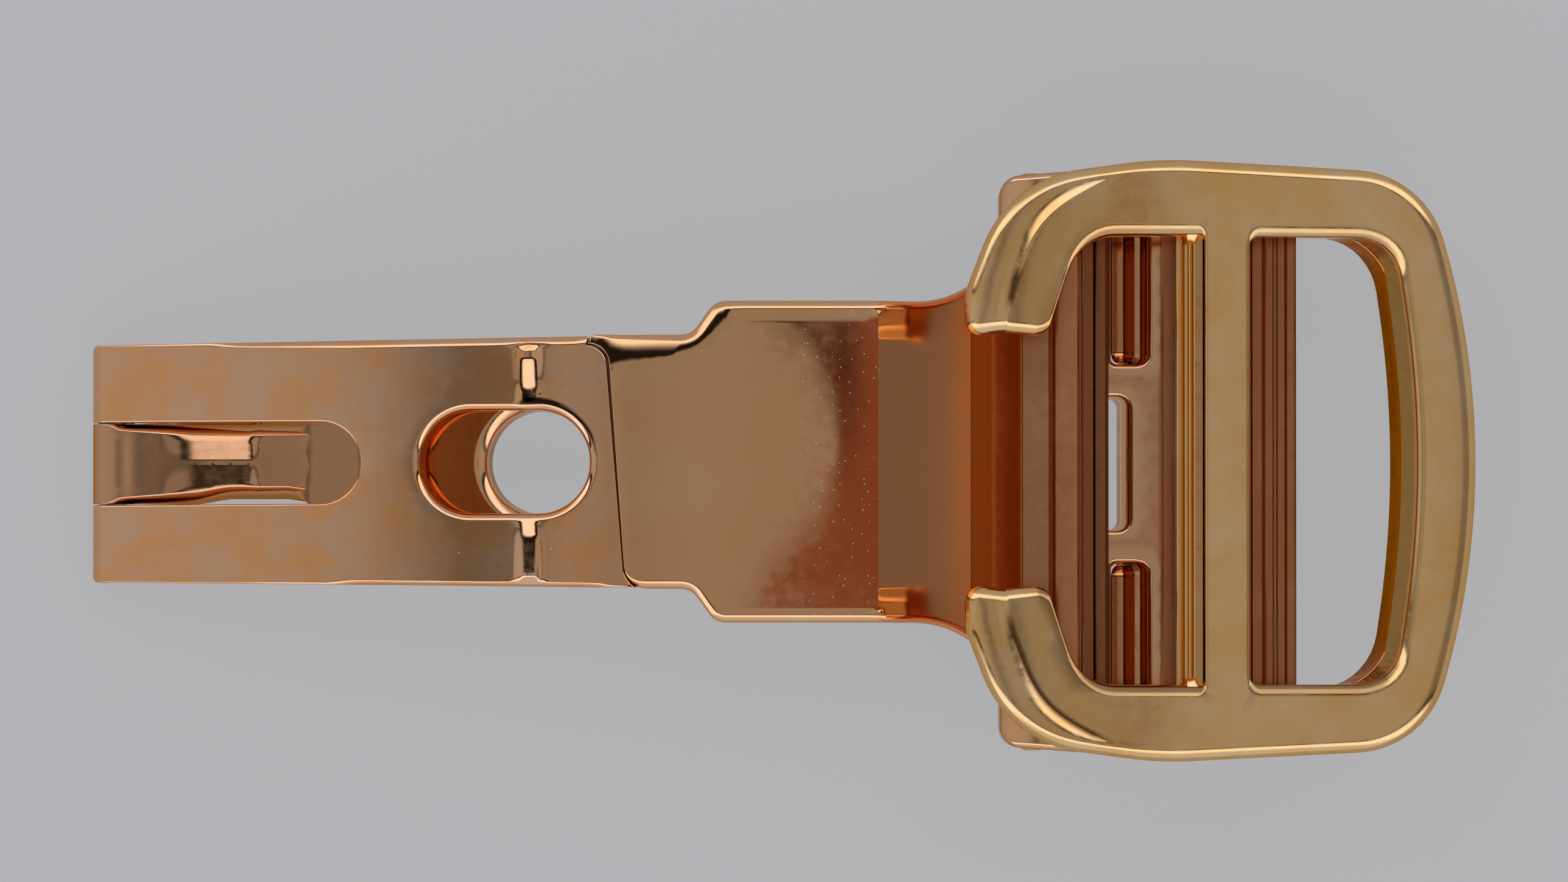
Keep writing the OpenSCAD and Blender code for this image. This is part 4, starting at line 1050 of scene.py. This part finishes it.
rear += from_point(gx0, GRIP_Z, [
    (3.36, 0), (3.42, -0.09), (3.52, -0.02), (3.72, -0.01), (3.78, -0.34), (3.86, -0.34),
    (3.90, -0.03), (4.12, -0.01), (4.17, -0.08), (4.22, -0.02), (4.44, -0.03), (4.52, -0.12)])
grip_r = across("rear_grip_dress", GRIP_REAR, rear + [(REAR_X1, FLOOR_Z0)], RAIL_IN)
dress([grip_r], "rear_grip_bar", "upper")

cx0, cx1 = BAR_X0 - 0.95, BAR_X1 - 0.15
clamp_z, ledge = CROWN_Z - 0.75, CROWN_Z + 0.45
bead = from_point(cx0, ledge, [(0.12 - 0.12 * math.cos(a), 0.12 * math.sin(a) - 0.12)
                               for a in np.linspace(0, math.pi * 0.86, 9)])
steps = from_point(cx0, ledge, [
    (0.30, -0.20), (0.38, -0.21), (0.44, -0.08), (0.48, -0.06), (0.52, -0.07), (0.56, -0.12),
    (0.60, -0.02), (0.64, 0), (0.89, 0), (0.92, -0.04), (0.95, -0.3)])
roof = [(x, crown(x, FRAME_R - FRAME_T) - 0.002) for x in np.linspace(BAR_X0 + 0.02, cx1, 6)]
under = [(cx1, clamp_z)]
for k in range(3, -1, -1):
    under += groove(cx0 + 0.35 + 0.5 * k, clamp_z, 0.22, -0.14)[::-1]
clamp = across("clamp_bar_dress", BEAD, [(cx0, clamp_z + 0.05), *bead, *steps, *roof, *under,
                                         (cx0 + 0.05, clamp_z)], WINDOW_HALF)
dress([clamp], "clamp_bar", "clamp")

# ---------------- carried-over CAD nodes
LOOKS = {
    "upper_blade": ROSE_HAZE_AND_SHADE, "fold_hinge_pin": STEEL, "head_plate": ROSE_PLATE,
    "front_grip_block": GRIP, "rear_grip_bar": GRIP_REAR, "detent_spring_a": SPRING,
    "detent_spring_b": SPRING, "detent_plunger_a": STEEL, "detent_plunger_b": STEEL,
    "catch_leaf": SPRING, "front_frame": YELLOW, "clamp_bar": BEAD}
for node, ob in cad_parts.items():
    slots = ob.data.materials
    if not len(slots):
        slots.append(None)
    for i in range(len(slots)):
        slots[i] = LOOKS.get(node, ROSE)

# ---------------- floor, light and camera
DIST, ELEV = 420.0, 88.8            # the camera's distance and its angle above the floor
AIM = (0.1, 0.72, 4.2)
SENSOR, PHOTO_W, PX_PER_MM = 36.0, 2576, 49.0
el = math.radians(ELEV)

bm = bmesh.new()
bmesh.ops.create_grid(bm, x_segments=1, y_segments=1, size=1.5)
me = bpy.data.meshes.new("floor")
bm.to_mesh(me)
bm.free()
floor = bpy.data.objects.new("floor", me)
floor.location = (0, 0, -0.00003)
scene.collection.objects.link(floor)
pale = bpy.data.materials.new("floor")
pale.use_nodes = True
t = Nodes(pale.node_tree)
pos = t.add("TexCoord").outputs["Object"]
tone = t.mix(t.noise(pos, 9.0, 2.0), (0.455, 0.455, 0.465), (0.485, 0.485, 0.497))
lit = t.add("BsdfPrincipled", {"Base Color": tone, "Roughness": 0.9,
                               "Specular IOR Level": 0.1}).outputs[0]
glow = t.add("Emission", {"Color": tone, "Strength": 1.0}).outputs[0]
path = t.add("LightPath").outputs
seen = t.math("MAXIMUM", t.math("MAXIMUM", path["Is Camera Ray"], path["Is Glossy Ray"]),
              path["Is Transmission Ray"])
mixed = t.add("MixShader", {0: t.times(seen, 0.82), 1: lit, 2: glow}).outputs[0]
t.add("OutputMaterial", {0: mixed})
me.materials.append(pale)

# two large soft boxes at the sides, a dimmer strip of ceiling between them over the clasp
world = bpy.data.worlds.new("tent")
scene.world = world
world.use_nodes = True
t = Nodes(world.node_tree)
way = t.add("TexCoord").outputs["Generated"]
dx, dy, _ = t.add("SeparateXYZ", {0: way}).outputs
strip = t.ramp(t.math("MULTIPLY_ADD", dx, 0.5, 0.5), [
    (0.02, 0.50), (0.178, 0.48), (0.257, 0.44), (0.286, 0.31), (0.3145, 0.18), (0.3395, 0.20),
    (0.369, 0.38), (0.403, 0.33), (0.442, 0.37), (0.49, 0.365), (0.56, 0.38), (0.62, 0.43),
    (0.88, 0.42), (0.95, 0.22), (1.0, 0.22)])
# the dark red patch of ceiling that the head plate mirrors, rounded towards its left end
mid_y = t.math("ADD", dy, -(0.8 - AIM[1]) / DIST - math.cos(el))
lobe = t.math("MULTIPLY_ADD", t.times(mid_y, mid_y), 0.075 / (4.4 / DIST) ** 2, dx)
shade = t.times(t.ramp(lobe, [(0.0, 0.0), (0.042, 0.0), (0.049, 1.0)]),
                t.ramp(dx, [(0.0, 1.0), (0.12, 1.0), (0.15, 0.0)]),
                t.ramp(t.math("ADD", dx, 0.5), [(0.425, 0.0), (0.475, 1.0)]),
                t.ramp(t.math("ABSOLUTE", mid_y), [(0.0, 1.0), (0.0155, 1.0), (0.0176, 0.0)]))
core = t.times(t.ramp(t.math("MULTIPLY_ADD", mid_y, 42.0, 0.5), [(0.3, 0.0), (0.75, 1.0)]),
               t.ramp(dx, [(0.058, 1.0), (0.082, 0.0)]))
strip = t.mix(shade, strip, t.mix(core, (0.24, 0.095, 0.055), (0.095, 0.040, 0.036)))
# the boxes, dimmer at their far ends, and the dark slits between them and the strip
wing = t.math("ABSOLUTE", dy)
far = t.mix(t.math("LESS_THAN", dy, 0.0), (0.46, 0.475, 0.52), (0.66, 0.72, 0.84))
side = t.mix(t.ramp(wing, [(0.0, 0.0), (0.56, 0.0), (0.74, 1.0)]), (1.38, 1.45, 1.60), far)
light = t.mix(t.ramp(wing, [(0.0, 0.0), (0.27, 0.0), (0.31, 1.0)]), strip, side)
slit = t.ramp(wing, [(0.0, 1.0), (0.17, 1.0), (0.20, 0.0), (0.26, 0.0), (0.30, 1.0)])
light = t.mix(slit, (0.015, 0.014, 0.014), light)
sky = t.add("Background", {"Color": light, "Strength": 1.0}).outputs[0]
t.add("OutputWorld", {0: sky})

cam_data = bpy.data.cameras.new("camera")
cam_data.sensor_width = SENSOR
cam_data.lens = SENSOR * DIST / (PHOTO_W / PX_PER_MM)
cam_data.clip_start, cam_data.clip_end = 0.005, 5.0
cam = bpy.data.objects.new("camera", cam_data)
cam.location = (Vector(AIM) + Vector((0, -math.cos(el), math.sin(el))) * DIST) * MM
cam.rotation_euler = (math.radians(90 - ELEV), 0, 0)
scene.collection.objects.link(cam)
scene.camera = cam
scene.view_settings.view_transform = "Standard"
